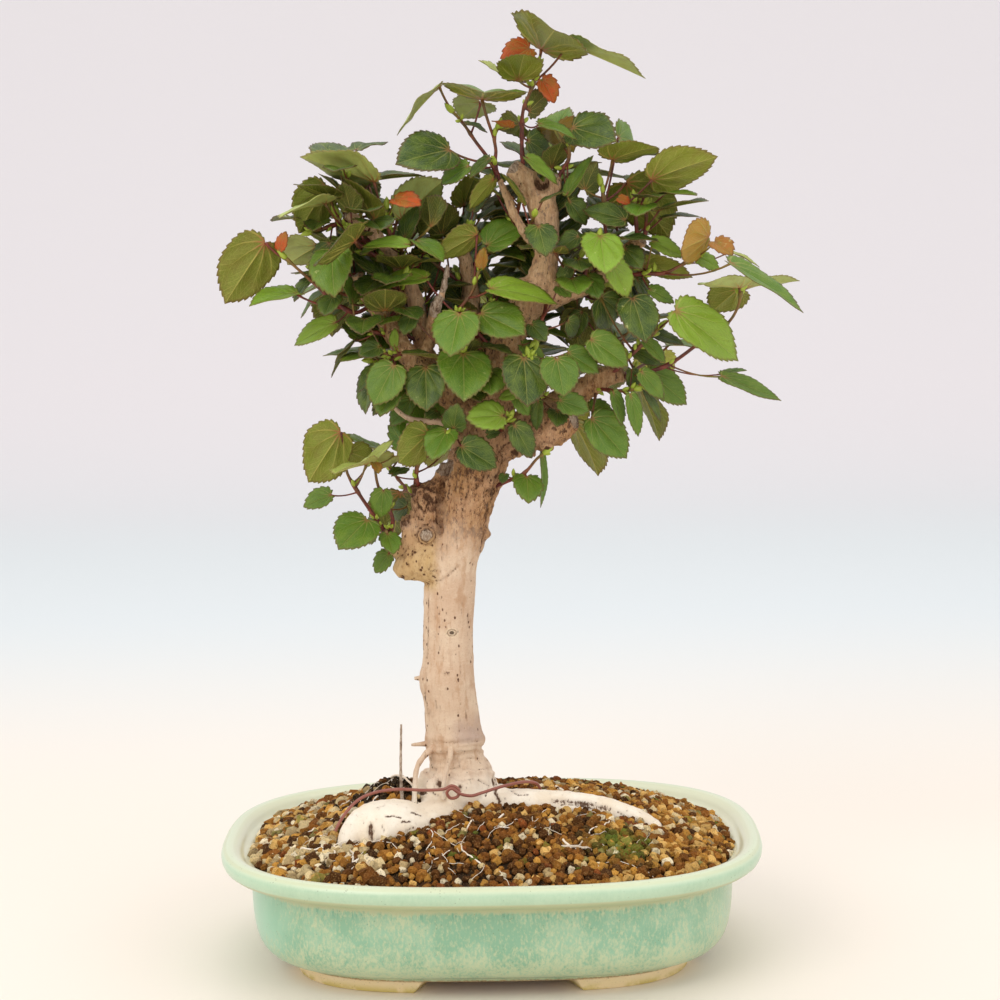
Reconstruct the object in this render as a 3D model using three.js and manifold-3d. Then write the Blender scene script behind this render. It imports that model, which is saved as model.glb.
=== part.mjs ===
// Sea hibiscus bonsai in a glazed oval pot.
// Millimetres, +Z up, the front towards -Y. The part stands with its feet on z = 0.

import * as THREE from "three";
import { mergeVertices } from "three/addons/utils/BufferGeometryUtils.js";
import Module from "manifold-3d";

const wasm = await Module();
wasm.setup();

// Pot: its rim is an oval between an ellipse and a rectangle, and the bowl is squarer low down.
const RIM_LENGTH = 380;
const RIM_DEPTH = 300;
const POT_HEIGHT = 87;
const OVAL_POWER = 2.75;
const LOW_POWER = 3.3;
const WAIST_HEIGHT = 66;
const WAIST_DROP = 42;
const OVAL_SIDES = 32;
const FOOT_HEIGHT = 9;
const FOOT_INSETS = { under: 52, top: 50, inner: 74 };
const FOOT_STEPS = 5;
const FOOT_SLANT = 0.05;
const FLOOR_HEIGHT = 17.5;
const DRAIN_RADIUS = 9;
const DRAIN_OFFSET = 58;

// Mesh screens over the drain holes
const SCREEN_SIZE = 28;
const SCREEN_THICKNESS = 1;
const SCREEN_OPENING = 7;
const SCREEN_PITCH = 10;

// Soil: its height at the pot's wall and under the trunk, and how far its surface is rough
const SOIL_EDGE = 77;
const SOIL_TOP = 112;
const SOIL_INSET = 19.5;
const SOIL_STEPS = 12;
const GRAIN_RELIEF = 4.5;

// Tree and wire
const TRUNK_SIDES = 10;
const LIMB_SIDES = { thick: 8, middling: 6, thin: 4 };
const STEM_RADIUS = 2.1;
const STEM_TIP_RADIUS = 1.2;
const BLADE = 0.7;
const WIRE_RADIUS = 1.1;
const WIRE_STEPS = 38;

// Room left round what is cut to a neighbour's shape
const GAP = 0.3;

// The tree is measured as it is seen from its front, from this eye point.
const EYE = new THREE.Vector3(9.3, -1500, 497);

const COLOURS = {
  glaze: 0x9fc9ab,
  soil: 0x7a5331,
  bark: 0xc9a682,
  wire: 0x8a4a3c,
  screen: 0x202522,
  green: 0x5c7f33,
  orange: 0xc0622c,
  amber: 0x97701f,
};

const part = new THREE.Group();

// A point given across and up as seen in the trunk's plane, moved back along the line of sight
function seen(x, z, back) {
  const stretch = 1 + back / -EYE.y;
  return new THREE.Vector3(EYE.x + (x - EYE.x) * stretch, back, EYE.z + (z - EYE.z) * stretch);
}

// Seeded draws between 0 and 1
function dice(seed) {
  let state = seed;
  return () => {
    state = (state * 16807) % 2147483647;
    return state / 2147483647;
  };
}

// A closed skin through rings of equally many points, with flat fans on both ends
function loft(rings) {
  const sides = rings[0].length;
  const positions = [];
  const faces = [];
  for (const ring of rings) {
    for (const point of ring) {
      positions.push(point.x, point.y, point.z);
    }
  }
  for (let row = 0; row + 1 < rings.length; row += 1) {
    for (let side = 0; side < sides; side += 1) {
      const next = (side + 1) % sides;
      const low = row * sides;
      const high = low + sides;
      faces.push(low + side, low + next, high + next);
      faces.push(low + side, high + next, high + side);
    }
  }
  const last = (rings.length - 1) * sides;
  for (let side = 1; side + 1 < sides; side += 1) {
    faces.push(0, side + 1, side);
    faces.push(last, last + side, last + side + 1);
  }
  return geometryOf(positions, faces);
}

function geometryOf(positions, faces) {
  const geometry = new THREE.BufferGeometry();
  geometry.setAttribute("position", new THREE.Float32BufferAttribute(positions, 3));
  geometry.setIndex(faces);
  return geometry;
}

// A closed geometry as a solid that can be joined and cut
function solid(geometry) {
  const bare = geometry.clone();
  bare.deleteAttribute("normal");
  bare.deleteAttribute("uv");
  const merged = mergeVertices(bare, 1e-4);
  return new wasm.Manifold(new wasm.Mesh({
    numProp: 3,
    vertProperties: new Float32Array(merged.attributes.position.array),
    triVerts: new Uint32Array(merged.index.array),
  }));
}

// The largest single body of a cut solid, so that no loose scrap stays
function largest(body) {
  let best = null;
  for (const piece of body.decompose()) {
    if (best === null || piece.volume() > best.volume()) {
      best = piece;
    }
  }
  return best;
}

function add(name, body, colour, roughness) {
  const mesh = body.getMesh();
  const geometry = geometryOf(Array.from(mesh.vertProperties), Array.from(mesh.triVerts));
  const material = new THREE.MeshStandardMaterial({ color: colour, roughness, metalness: 0 });
  const piece = new THREE.Mesh(geometry, material);
  piece.name = name;
  part.add(piece);
}

// The pot

// A point of the oval that lies inset from the rim's outer edge
function ovalPoint(inset, turn, height) {
  const across = Math.cos(turn);
  const along = Math.sin(turn);
  const squareness = Math.min(Math.max((WAIST_HEIGHT - height) / WAIST_DROP, 0), 1);
  const bend = 2 / (OVAL_POWER + (LOW_POWER - OVAL_POWER) * squareness);
  const x = Math.sign(across) * Math.abs(across) ** bend * (RIM_LENGTH / 2 - inset);
  const y = Math.sign(along) * Math.abs(along) ** bend * (RIM_DEPTH / 2 - inset);
  return new THREE.Vector3(x, y, height);
}

function oval(inset, height) {
  const ring = [];
  for (let side = 0; side < OVAL_SIDES; side += 1) {
    ring.push(ovalPoint(inset, (side / OVAL_SIDES) * 2 * Math.PI, height));
  }
  return ring;
}

// Inset from the rim's outer edge and height, from the underside out, up and over the lip
const POT_OUTSIDE = [
  [49, FOOT_HEIGHT], [46, 12.6], [42, 13.8], [32.5, 18.5], [27.5, 24], [24, 32], [22, 43], [20.5, 66],
  [9, 71], [1, 76.5], [0.5, 83], [6, POT_HEIGHT], [12, 85], [16, 80.5],
];
const POT_INSIDE = [[28, 66], [31.5, 36], [48, FLOOR_HEIGHT]];

// One foot is a slanted block that follows the oval round a corner and goes up into the underside.
function foot(start, end) {
  const rings = [];
  const top = FOOT_HEIGHT + 2;
  for (let step = 0; step <= FOOT_STEPS; step += 1) {
    const share = step / FOOT_STEPS;
    const slant = FOOT_SLANT * (1 - 2 * share);
    const turn = start + (end - start) * share;
    rings.push([
      ovalPoint(FOOT_INSETS.under, turn + slant, 0),
      ovalPoint(FOOT_INSETS.inner, turn + slant, 0),
      ovalPoint(FOOT_INSETS.inner, turn, top),
      ovalPoint(FOOT_INSETS.top, turn, top),
    ]);
  }
  return solid(loft(rings));
}

function buildPot() {
  const rings = [...POT_OUTSIDE, ...POT_INSIDE].map(([inset, height]) => oval(inset, height));
  let pot = solid(loft(rings));
  for (const corner of [0, 1, 2, 3]) {
    const quarter = corner * Math.PI / 2;
    const [near, far] = corner % 2 === 0 ? [0.18, 1.41] : [0.21, 1.41];
    pot = pot.add(foot(quarter + near, quarter + far));
  }
  for (const side of [-1, 1]) {
    const hole = new THREE.CylinderGeometry(DRAIN_RADIUS, DRAIN_RADIUS, 4 * FLOOR_HEIGHT, 12);
    hole.rotateX(Math.PI / 2);
    hole.translate(side * DRAIN_OFFSET, 0, 0);
    pot = pot.subtract(solid(hole));
  }
  add("pot", pot, COLOURS.glaze, 0.3);
}

function buildScreens() {
  for (const [name, side] of [["drain_screen_left", -1], ["drain_screen_right", 1]]) {
    const plate = new THREE.BoxGeometry(SCREEN_SIZE, SCREEN_SIZE, SCREEN_THICKNESS);
    let screen = solid(plate);
    for (const row of [-0.5, 0.5]) {
      for (const column of [-0.5, 0.5]) {
        const opening = new THREE.BoxGeometry(SCREEN_OPENING, SCREEN_OPENING, 2 * SCREEN_THICKNESS);
        opening.translate(row * SCREEN_PITCH, column * SCREEN_PITCH, 0);
        screen = screen.subtract(solid(opening));
      }
    }
    const height = FLOOR_HEIGHT + GAP + SCREEN_THICKNESS / 2;
    add(name, screen.translate([side * DRAIN_OFFSET, 0, height]), COLOURS.screen, 0.6);
  }
}

// The wood

// Each length of wood is a list of points: across, up, back and radius.
const TRUNK = [
  [-24, 48, 0, 24], [-25, 92, 0, 31], [-24, 112, 0, 30], [-23.5, 121, 0, 28.5], [-22.5, 128, 0, 24.5],
  [-23.5, 135, 0, 20.6], [-24.8, 143, 0, 19.4], [-25.2, 149, 0, 21.4], [-25.8, 156, 0, 20.1],
  [-28.4, 182, 0, 19.1], [-30.2, 195, 0, 19.9], [-29, 208, 0, 18.2], [-28.7, 232, 0, 17.7],
  [-27.4, 260, 0, 18.2], [-25.8, 282, 0, 19.2], [-20, 298, 0, 19.4], [-15, 316, 0, 18],
  [-10, 334, 0, 20], [-5, 352, 0, 21], [0, 372, 0, 19.5], [4, 388, -1, 16],
];
const LIMBS = {
  main_limb: [
    [0, 376, 0, 17], [8, 396, -2, 14.5], [12, 416, -2, 12.5], [18, 440, 0, 11.5], [29, 458, 0, 12],
    [38, 470, 0, 11], [43.5, 486, 0, 8.6], [44, 505, 0, 9], [42.5, 520, 0, 10], [39, 532, 0, 10.5],
  ],
  left_prong: [[40, 528, 0, 8.5], [33, 540, -1, 8.2], [25, 548, -2, 7], [20, 552, -2, 6.2]],
  right_prong: [[42, 528, 2, 8], [48.5, 539, 2, 6], [50, 547, 3, 5.2]],
  right_branch: [
    [28, 456, 0, 9], [46, 463, 0, 8.6], [62, 468, 2, 8], [76, 474, 4, 7.2], [90, 484, 6, 6.4],
    [101, 494, 8, 5.8], [112, 502, 8, 4.8],
  ],
  right_stub: [
    [-2, 358, 0, 16], [18, 366, -2, 14.5], [38, 373, -4, 16], [52, 376, -5, 14], [63, 378, -6, 8],
  ],
  low_right_branch: [
    [30, 382, 2, 9], [52, 390, 12, 8.5], [70, 399, 14, 8], [84, 407, 10, 7.2], [97, 407, 6, 4.6],
  ],
  left_branch: [
    [-6, 380, 0, 12], [-22, 394, -3, 10], [-38, 409, -4, 9], [-52, 423, -3, 7.6], [-62, 437, 0, 6.8],
    [-70, 450, 3, 6.2], [-79, 464, 5, 5.4], [-88, 480, 7, 4.4],
  ],
  upper_left_limb: [
    [-36, 407, 0, 7], [-43, 432, 8, 6.4], [-46, 455, 12, 5.8], [-52, 475, 10, 5.2],
    [-62, 492, 6, 4.8], [-76, 509, 3, 4.5], [-95, 522, 1, 4.2],
  ],
  back_limb: [
    [0, 388, 6, 11], [-4, 412, 18, 8], [-10, 440, 26, 6.6], [-9, 470, 28, 5.6], [-15, 500, 24, 4.4],
  ],
  burl: [
    [-26, 282, 0, 16], [-40, 281, -3, 17.5], [-50, 280, -4, 15], [-58, 278, -4, 11.5], [-64, 280, -4, 6],
  ],
  stump: [[-44, 284, -4, 14], [-43, 303, -4, 12], [-42, 320, -4, 10], [-44, 334, -4, 9.2]],
  stump_prong: [[-38, 318, -3, 6], [-33, 336, -1, 5.2], [-28, 348, 0, 3.6]],
  burl_knob: [[-50, 290, -4, 8], [-56, 304, -5, 5.6], [-56, 310, -5, 3.6]],
  low_left_branch: [[-50, 283, -4, 6], [-62, 285, -2, 4.2], [-67, 295, 0, 3.6], [-73, 302, 0, 3]],
  limb_twig: [
    [40, 498, 0, 4], [31, 504, -6, 3.4], [23, 518, -8, 3], [17, 532, -6, 2.8], [12, 544, -4, 2.4],
  ],
  dead_stub: [
    [-42, 420, 2, 5], [-36, 444, -8, 4.6], [-33, 458, -13, 4], [-28, 469, -14, 2.2],
    [-24, 486, -14, 1.6],
  ],
  dead_twig: [
    [-8, 370, -6, 4.4], [-30, 377, -10, 3], [-45, 378, -12, 2.6], [-57, 382, -14, 2],
    [-70, 395, -16, 1.2],
  ],
  dead_twig_fork: [[-41, 377, -11, 2.2], [-48, 374, -14, 1.6], [-55, 376, -15, 1.1]],
  trunk_nub: [[-44, 196, -2, 4], [-53, 196, -3, 1.2]],
  ring_nub: [[-42, 149, -4, 3], [-56, 148, -8, 1]],
  left_root: [
    [-24, 96, -8, 22], [-50, 83, -36, 21], [-70, 85, -45, 22.5], [-88, 83, -50, 19.5],
    [-104, 64, -58, 11],
  ],
  right_root: [
    [-12, 101, -12, 16], [18, 103, -16, 12], [50, 101.5, -18, 11.5], [80, 97, -20, 10.5],
    [104, 89.5, -24, 9], [114, 85, -27, 7.5], [121, 79, -30, 5],
  ],
  back_right_root: [[-16, 102, 8, 16], [12, 109, 34, 9], [36, 101, 62, 5]],
  back_left_root: [[-34, 102, 10, 15], [-62, 108, 38, 9], [-88, 96, 64, 5]],
  left_air_root: [
    [-38, 148, -10, 3.2], [-47, 140, -16, 2.5], [-53, 129, -20, 2.2], [-55, 104, -24, 2.2],
  ],
  front_air_root: [
    [-28, 147, -17, 3.2], [-29, 138, -24, 2.2], [-33, 124, -29, 1.9], [-34, 108, -31, 1.9],
  ],
  dead_sucker: [[-62, 94, -34, 2], [-64, 122, -24, 1.3], [-63, 163, -14, 0.9]],
};

function sidesFor(radius) {
  if (radius > 12) {
    return LIMB_SIDES.thick;
  }
  return radius > 4 ? LIMB_SIDES.middling : LIMB_SIDES.thin;
}

// Rings round a path, kept from twisting by carrying one direction along it
function tubeRings(centres, radii, sides) {
  const rings = [];
  let lean = new THREE.Vector3(0.3, -1, 0.2);
  for (let index = 0; index < centres.length; index += 1) {
    const before = centres[Math.max(index - 1, 0)];
    const after = centres[Math.min(index + 1, centres.length - 1)];
    const along = after.clone().sub(before).normalize();
    lean = lean.clone().addScaledVector(along, -lean.dot(along)).normalize();
    const cross = new THREE.Vector3().crossVectors(along, lean);
    const ring = [];
    for (let side = 0; side < sides; side += 1) {
      const turn = (side / sides) * 2 * Math.PI;
      const point = centres[index].clone();
      point.addScaledVector(lean, Math.cos(turn) * radii[index]);
      point.addScaledVector(cross, Math.sin(turn) * radii[index]);
      ring.push(point);
    }
    rings.push(ring);
  }
  return rings;
}

function woodTube(points, sides, extra) {
  const centres = points.map(([x, z, back]) => seen(x, z, back));
  const radii = points.map(([, , , radius]) => radius + extra);
  return solid(loft(tubeRings(centres, radii, sides)));
}

function woodSolid(extra) {
  let wood = woodTube(TRUNK, TRUNK_SIDES, extra);
  for (const points of Object.values(LIMBS)) {
    wood = wood.add(woodTube(points, sidesFor(points[0][3]), extra));
  }
  return wood;
}

// The tie wire lies over the roots, with one twisted loop, and both ends go down into the soil.
const WIRE = [
  [-113, 66, -52], [-112, 84, -50], [-104, 99, -46], [-94, 109, -38], [-82, 114, -34],
  [-66, 116, -34], [-48, 115, -34], [-34, 115.5, -36], [-28, 118, -37], [-23, 115, -38],
  [-24, 110, -39], [-29, 109, -40], [-31.5, 113, -41], [-28, 116, -42], [-22, 112, -41],
  [-14, 110.5, -38], [-5, 113, -34], [10, 117.5, -27], [24, 120, -16], [33, 118, -6],
  [37, 107, 0], [38, 95, 2],
];

function wireSolid(extra) {
  const curve = new THREE.CatmullRomCurve3(WIRE.map(([x, z, back]) => seen(x, z, back)));
  const centres = curve.getPoints(WIRE_STEPS);
  const radii = centres.map(() => WIRE_RADIUS + extra);
  return solid(loft(tubeRings(centres, radii, LIMB_SIDES.thin)));
}

// The soil is one lumpy mound, higher round the trunk, with coarse grains for relief.
function buildSoil(woodRoom, wireRoom) {
  const draw = dice(71);
  const rings = [];
  for (const [inset, height] of [...POT_INSIDE].reverse()) {
    rings.push(oval(inset + 2 * GAP, Math.max(height, FLOOR_HEIGHT + GAP)));
  }
  for (let step = 0; step < SOIL_STEPS; step += 1) {
    const share = 1 - (step / SOIL_STEPS) ** 1.15;
    rings.push(oval(SOIL_INSET, SOIL_EDGE).map((edge) => {
      const jut = step === 0 ? 0 : GRAIN_RELIEF * (draw() - 0.5);
      const height = SOIL_EDGE + (SOIL_TOP - SOIL_EDGE) * (1 - share ** 2) + jut;
      return new THREE.Vector3(edge.x * share, edge.y * share, height);
    }));
  }
  let soil = solid(loft(rings)).subtract(woodRoom).subtract(wireRoom);
  for (const side of [-1, 1]) {
    const across = SCREEN_SIZE + 2 * GAP;
    const room = new THREE.BoxGeometry(across, across, 2 * (SCREEN_THICKNESS + 2 * GAP));
    room.translate(side * DRAIN_OFFSET, 0, FLOOR_HEIGHT + GAP);
    soil = soil.subtract(solid(room));
  }
  add("soil", largest(soil), COLOURS.soil, 0.95);
}

// The shoots that show from the front. Each has its stem's points (across, up, back) and its leaves.
// A leaf has the share of the stem at which its stalk leaves, the base of its blade (across, up, back),
// its tip (across, up), its width, the turn of its upper face away from the viewer in degrees,
// whether its tip points towards the viewer (-1) or away (1), and its tone.
const FRONT_SHOOTS = [
  ["far_left", [
    [-77, 460, 5], [-88, 454, 0], [-98, 458, -4], [-110, 468, -6], [-122, 479, -8],
    [-136, 492, -8],
  ], [
    [0.97, -150, 503, -10, -180, 462, 42, 152, -1, "green"],
    [0.6, -114, 500, 6, -135, 490, 34, 140, 1, "pale"],
    [0.5, -104, 497, -16, -105, 468, 31, 22, -1, "green"],
    [0.35, -129, 467, -8, -161, 465, 30, 74, -1, "bright"],
    [0.3, -103, 447, -6, -133, 434, 22, 52, -1, "bright"],
    [1, -140, 498, -9, -137, 511, 10, 40, -1, "orange"],
  ]],
  ["upper_left", [[-57, 484, 8], [-70, 490, 4], [-84, 500, 0], [-94, 510, -3], [-100, 521, -4]], [
    [0.9, -107, 540, 4, -129, 510, 33, 152, -1, "green"],
    [0.8, -108, 529, -12, -140, 527, 36, 102, -1, "pale"],
    [0.45, -88, 503, -16, -112, 496, 44, 116, -1, "dark"],
    [1, -101, 522, -4, -105, 534, 7, 50, -1, "bright"],
  ]],
  ["left_crown", [[-53, 478, 10], [-58, 491, 8], [-63, 505, 2], [-66, 516, 0], [-66, 525, 0]], [
    [0.6, -74, 543, -8, -124, 563, 42, 116, -1, "pale"],
    [0.8, -60, 532, -10, -42, 529, 18, 55, -1, "orange"],
    [0.7, -55, 517, 12, -30, 545, 36, 150, 1, "pale"],
    [0.8, -78, 541, 14, -88, 527, 24, 140, 1, "dark"],
    [0.3, -52, 500, -16, -83, 503, 16, 62, -1, "bright"],
    [0.35, -36, 512, 6, -37, 533, 29, 135, 1, "dark"],
  ]],
  ["mid_left", [
    [8, 424, -4], [-6, 440, -8], [-19, 451, -12], [-14, 459, -14], [-8, 467, -14], [-3, 482, -15],
  ], [
    [0.42, -40, 477, -16, -89, 471, 28, 68, -1, "bright"],
    [0.45, -2, 452, -24, 28, 439, 33, 38, -1, "green"],
    [0.7, 5, 469, -22, 52, 464, 30, 62, -1, "bright"],
    [0.85, -4, 506, -16, -33, 493, 27, 132, -1, "green"],
    [0.9, 3, 499, -4, 29, 516, 27, 40, 1, "green"],
    [0.35, -17, 452, -26, -24, 425, 31, 15, -1, "green"],
    [1, -1, 484, -15, 0, 498, 9, 30, -1, "amber"],
  ]],
  ["front_left", [[-24, 398, -2], [-28, 410, -12], [-22, 420, -18], [-17, 425, -22]], [
    [1, -15, 424, -26, -14, 395, 37, 12, -1, "green"],
    [0.4, -41, 415, -22, -41, 386, 28, 10, -1, "dark"],
    [0.8, -50, 452, -14, -56, 439, 14, 30, -1, "dark"],
  ]],
  ["left_hang", [[-50, 422, -2], [-58, 425, -8], [-65, 424, -12], [-72, 427, -13]], [
    [0.6, -63, 417, -18, -78, 390, 27, 22, -1, "green"],
    [0.7, -76, 416, -8, -90, 400, 12, 50, -1, "dark"],
    [0.5, -64, 403, -6, -80, 383, 14, 40, -1, "dark"],
    [0.3, -51, 394, -10, -67, 375, 16, 30, 1, "green"],
    [1, -73, 430, -13, -87, 425, 14, 30, -1, "dark"],
    [0.8, -80, 446, -10, -90, 441, 10, 30, 1, "dark"],
    [0.4, -62, 431, -16, -62, 443, 8, 40, -1, "bright"],
  ]],
  ["low_left_outer", [
    [-72, 301, 0], [-77, 309, -3], [-83, 318, -6], [-90, 329, -8], [-97, 342, -10],
    [-99, 353, -11],
  ], [
    [0.9, -101, 371, -14, -125, 338, 38, 155, -1, "green"],
    [0.95, -96, 357, -10, -79, 352, 19, 150, 1, "green"],
    [0.65, -84, 348, -22, -106, 345, 30, 94, -1, "pale"],
    [0.7, -82, 349, -22, -65, 366, 12, 60, -1, "pale"],
    [0.6, -109, 327, -8, -129, 320, 17, 40, -1, "green"],
    [0.2, -84, 309, -14, -103, 291, 30, 24, -1, "green"],
    [0.1, -78, 304, -6, -88, 296, 17, 30, 1, "green"],
    [1, -101, 357, -14, -104, 363, 10, 40, -1, "orange"],
  ]],
  ["low_left_inner", [
    [-69, 298, 0], [-66, 309, -6], [-71, 322, -9], [-76, 334, -10], [-78, 348, -11],
  ], [
    [0.5, -72, 330, -16, -75, 310, 16, 20, -1, "green"],
    [0.4, -56, 318, -8, -68, 312, 15, 30, 1, "dark"],
    [1, -64, 354, -6, -78, 347, 17, 130, 1, "pale"],
    [0.1, -70, 299, -12, -66, 286, 15, 25, -1, "green"],
    [0.15, -69, 285, -2, -80, 272, 14, 30, -1, "green"],
    [1, -78, 349, -11, -75, 343, 8, 40, -1, "amber"],
  ]],
  ["stump_shoot", [[-46, 328, -4], [-49, 340, -9], [-46, 351, -12]], [
    [1, -40, 369, -16, -62, 350, 29, 150, -1, "green"],
    [0.9, -27, 371, -12, -38, 352, 23, 32, -1, "green"],
    [0.6, -29, 356, 2, -41, 347, 19, 130, 1, "pale"],
    [0.4, -66, 341, -8, -54, 346, 12, 60, 1, "dark"],
  ]],
  ["trunk_left", [[-8, 368, -4], [-18, 372, -14], [-23, 371, -21]], [
    [1, -22, 373, -24, -20, 389, 17, 15, -1, "dark"],
    [0.9, -17, 360, -28, 8, 345, 23, 18, -1, "dark"],
    [0.6, -34, 385, -16, -41, 381, 10, 20, -1, "dark"],
  ]],
  ["trunk_front", [[8, 366, -6], [12, 373, -20], [16, 379, -25]], [
    [1, 12, 381, -28, -13, 381, 22, 28, -1, "bright"],
    [0.8, 20, 374, -24, 33, 351, 18, 25, -1, "dark"],
    [0.5, 1, 368, -24, 10, 370, 8, 25, -1, "dark"],
  ]],
  ["trunk_right", [[0, 329, -4], [17, 336, -14], [27, 341, -16], [35, 350, -16], [40, 354, -16]], [
    [0.5, 28, 338, -18, 30, 323, 21, 20, -1, "green"],
    [1, 39, 353, -16, 43, 316, 9, 58, -1, "green"],
    [0.3, 13, 340, -16, 11, 334, 7, 20, -1, "dark"],
  ]],
  ["stub_shoot", [[42, 380, -6], [38, 394, -20], [34, 408, -26], [31, 421, -28]], [
    [0.95, 27, 421, -32, 30, 389, 33, 20, -1, "dark"],
    [0.9, 50, 420, -30, 55, 395, 26, 15, -1, "green"],
    [0.5, 37, 391, -26, 35, 370, 11, 35, -1, "dark"],
    [0.45, 22, 394, -24, 31, 381, 13, 30, -1, "green"],
    [0.3, 50, 383, -24, 50, 374, 14, 18, -1, "dark"],
    [0.6, 22, 396, -30, 9, 394, 9, 35, -1, "bright"],
    [0.4, 52, 391, -26, 73, 384, 18, 30, -1, "green"],
    [1, 58, 424, -28, 80, 410, 19, 35, -1, "green"],
  ]],
  ["right_low", [[74, 400, 14], [84, 398, 2], [94, 397, -4], [104, 398, -7]], [
    [0.1, 74, 378, -2, 99, 350, 29, 24, -1, "green"],
    [0.15, 74, 383, 8, 91, 384, 19, 30, 1, "green"],
    [0.4, 89, 396, -6, 97, 373, 11, 40, -1, "green"],
    [0.7, 101, 394, -8, 109, 365, 12, 30, -1, "green"],
    [1, 111, 398, -8, 124, 376, 9, 50, -1, "dark"],
    [0.9, 102, 412, 4, 104, 396, 11, 30, 1, "dark"],
  ]],
  ["right_long", [
    [92, 407, 7], [106, 408, 4], [128, 415, 0], [150, 430, -2], [168, 442, -4], [176, 454, -6],
    [178, 465, -6],
  ], [
    [0.33, 165, 406, -4, 207, 390, 15, 48, -1, "green"],
    [0.3, 166, 408, 6, 182, 411, 9, 70, 1, "green"],
    [0.98, 177, 467, -10, 150, 473, 34, 110, -1, "pale"],
    [1, 182, 467, 4, 218, 475, 23, 106, 1, "pale"],
    [0.95, 176, 466, 8, 158, 452, 27, 150, 1, "green"],
    [0.15, 113, 410, 14, 142, 388, 25, 30, 1, "green"],
    [0.1, 109, 410, -4, 125, 391, 15, 32, -1, "green"],
  ]],
  ["right_fork", [[80, 404, 10], [92, 412, 2], [104, 424, -2], [113, 432, -4], [121, 440, -4]], [
    [1, 133, 452, -6, 180, 420, 34, 32, -1, "bright"],
    [0.7, 103, 461, -12, 113, 433, 29, 25, -1, "dark"],
    [0.4, 74, 433, -20, 101, 415, 23, 26, -1, "green"],
    [0.85, 115, 437, 8, 139, 430, 12, 50, 1, "dark"],
    [0.7, 111, 432, -12, 127, 417, 11, 35, -1, "green"],
    [0.6, 103, 425, 6, 124, 416, 13, 35, 1, "dark"],
    [0.5, 81, 462, -2, 90, 438, 26, 28, 1, "dark"],
    [0.35, 68, 452, 6, 62, 434, 16, 30, 1, "dark"],
  ]],
  ["right_mid", [
    [92, 486, 6], [100, 478, 5], [112, 478, 3], [125, 478, 1], [136, 483, 0], [147, 489, -2],
  ], [
    [0.6, 171, 484, -6, 224, 453, 25, 70, -1, "green"],
    [1, 156, 502, 4, 133, 494, 31, 148, -1, "amber"],
    [0.99, 160, 499, -14, 172, 491, 15, 40, -1, "amber"],
    [0.9, 148, 489, -8, 164, 481, 13, 40, -1, "bright"],
    [0.5, 109, 483, 12, 145, 479, 23, 130, 1, "green"],
    [0.85, 170, 492, 6, 192, 484, 10, 80, -1, "pale"],
    [0.35, 115, 467, -4, 133, 459, 12, 40, -1, "green"],
    [0.4, 117, 500, -2, 140, 490, 14, 40, -1, "bright"],
  ]],
  ["right_inner", [[66, 469, 2], [72, 482, -8], [78, 494, -14], [80, 502, -16]], [
    [1, 81, 504, -20, 85, 479, 29, 20, -1, "bright"],
    [0.5, 89, 485, -22, 101, 462, 19, 28, -1, "bright"],
    [0.4, 72, 477, -16, 80, 462, 17, 25, -1, "green"],
    [0.6, 66, 504, -12, 50, 495, 15, 35, -1, "dark"],
    [0.5, 98, 495, -8, 110, 482, 17, 30, -1, "dark"],
    [0.3, 60, 484, -14, 52, 470, 12, 30, -1, "dark"],
  ]],
  ["right_upper", [[88, 482, 6], [86, 500, 2], [84, 515, 0], [84, 528, -2], [82, 539, -2]], [
    [0.85, 90, 556, -4, 119, 568, 37, 120, -1, "green"],
    [0.7, 94, 571, 12, 110, 569, 27, 30, 1, "green"],
    [0.55, 117, 542, -6, 161, 560, 36, 140, -1, "green"],
    [0.75, 99, 540, 10, 130, 506, 45, 152, 1, "green"],
    [0.5, 98, 515, -14, 70, 525, 18, 36, -1, "dark"],
    [0.7, 94, 530, -6, 102, 526, 8, 40, -1, "orange"],
    [0.8, 71, 536, -4, 77, 554, 21, 148, 1, "dark"],
  ]],
  ["top_right", [[50, 540, 3], [55, 549, 0], [60, 557, -2], [60, 566, -3]], [
    [1, 63, 578, -8, 92, 570, 31, 34, -1, "dark"],
    [0.6, 59, 533, -16, 76, 560, 15, 58, -1, "green"],
    [0.4, 60, 528, -10, 72, 512, 17, 40, -1, "dark"],
    [0.8, 50, 578, 8, 62, 567, 31, 150, 1, "amber"],
  ]],
  ["top_left", [[12, 543, -3], [9, 553, -4], [10, 563, -5], [9, 572, -6], [11, 578, -6]], [
    [0.75, 1, 598, -8, 4, 613, 56, 176, -1, "green"],
    [0.3, -22, 564, -10, -57, 559, 37, 42, -1, "dark"],
    [0.25, -9, 553, -16, -29, 542, 18, 50, -1, "green"],
    [0.2, 5, 558, -12, -10, 547, 13, 60, -1, "dark"],
    [0.1, 8, 544, -12, -10, 525, 17, 130, -1, "green"],
    [1, 19, 579, -8, 10, 586, 14, 120, -1, "orange"],
  ]],
  ["top_outer", [[14, 538, -5], [6, 556, 2], [-4, 570, 4], [-12, 582, 3], [-19, 590, 2]], [
    [1, -28, 607, 0, -60, 577, 38, 94, -1, "pale"],
    [0.6, 0, 596, 12, -13, 588, 29, 140, 1, "pale"],
    [0.8, -10, 582, -4, 5, 578, 11, 75, -1, "dark"],
  ]],
  ["top_centre", [
    [29, 545, 0], [28, 562, 1], [28, 576, 0], [29, 590, 0], [34, 603, 0], [37, 611, 0],
    [39, 619, 0],
  ], [
    [0.72, 26, 611, -10, 30, 632, 30, 170, -1, "green"],
    [1, 42, 631, 6, 55, 651, 57, 176, -1, "green"],
    [0.8, 60, 634, -6, 114, 613, 42, 98, -1, "pale"],
    [1, 34, 632, -14, 14, 622, 20, 24, -1, "orange"],
    [0.8, 15, 614, 8, 0, 626, 13, 76, -1, "pale"],
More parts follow.
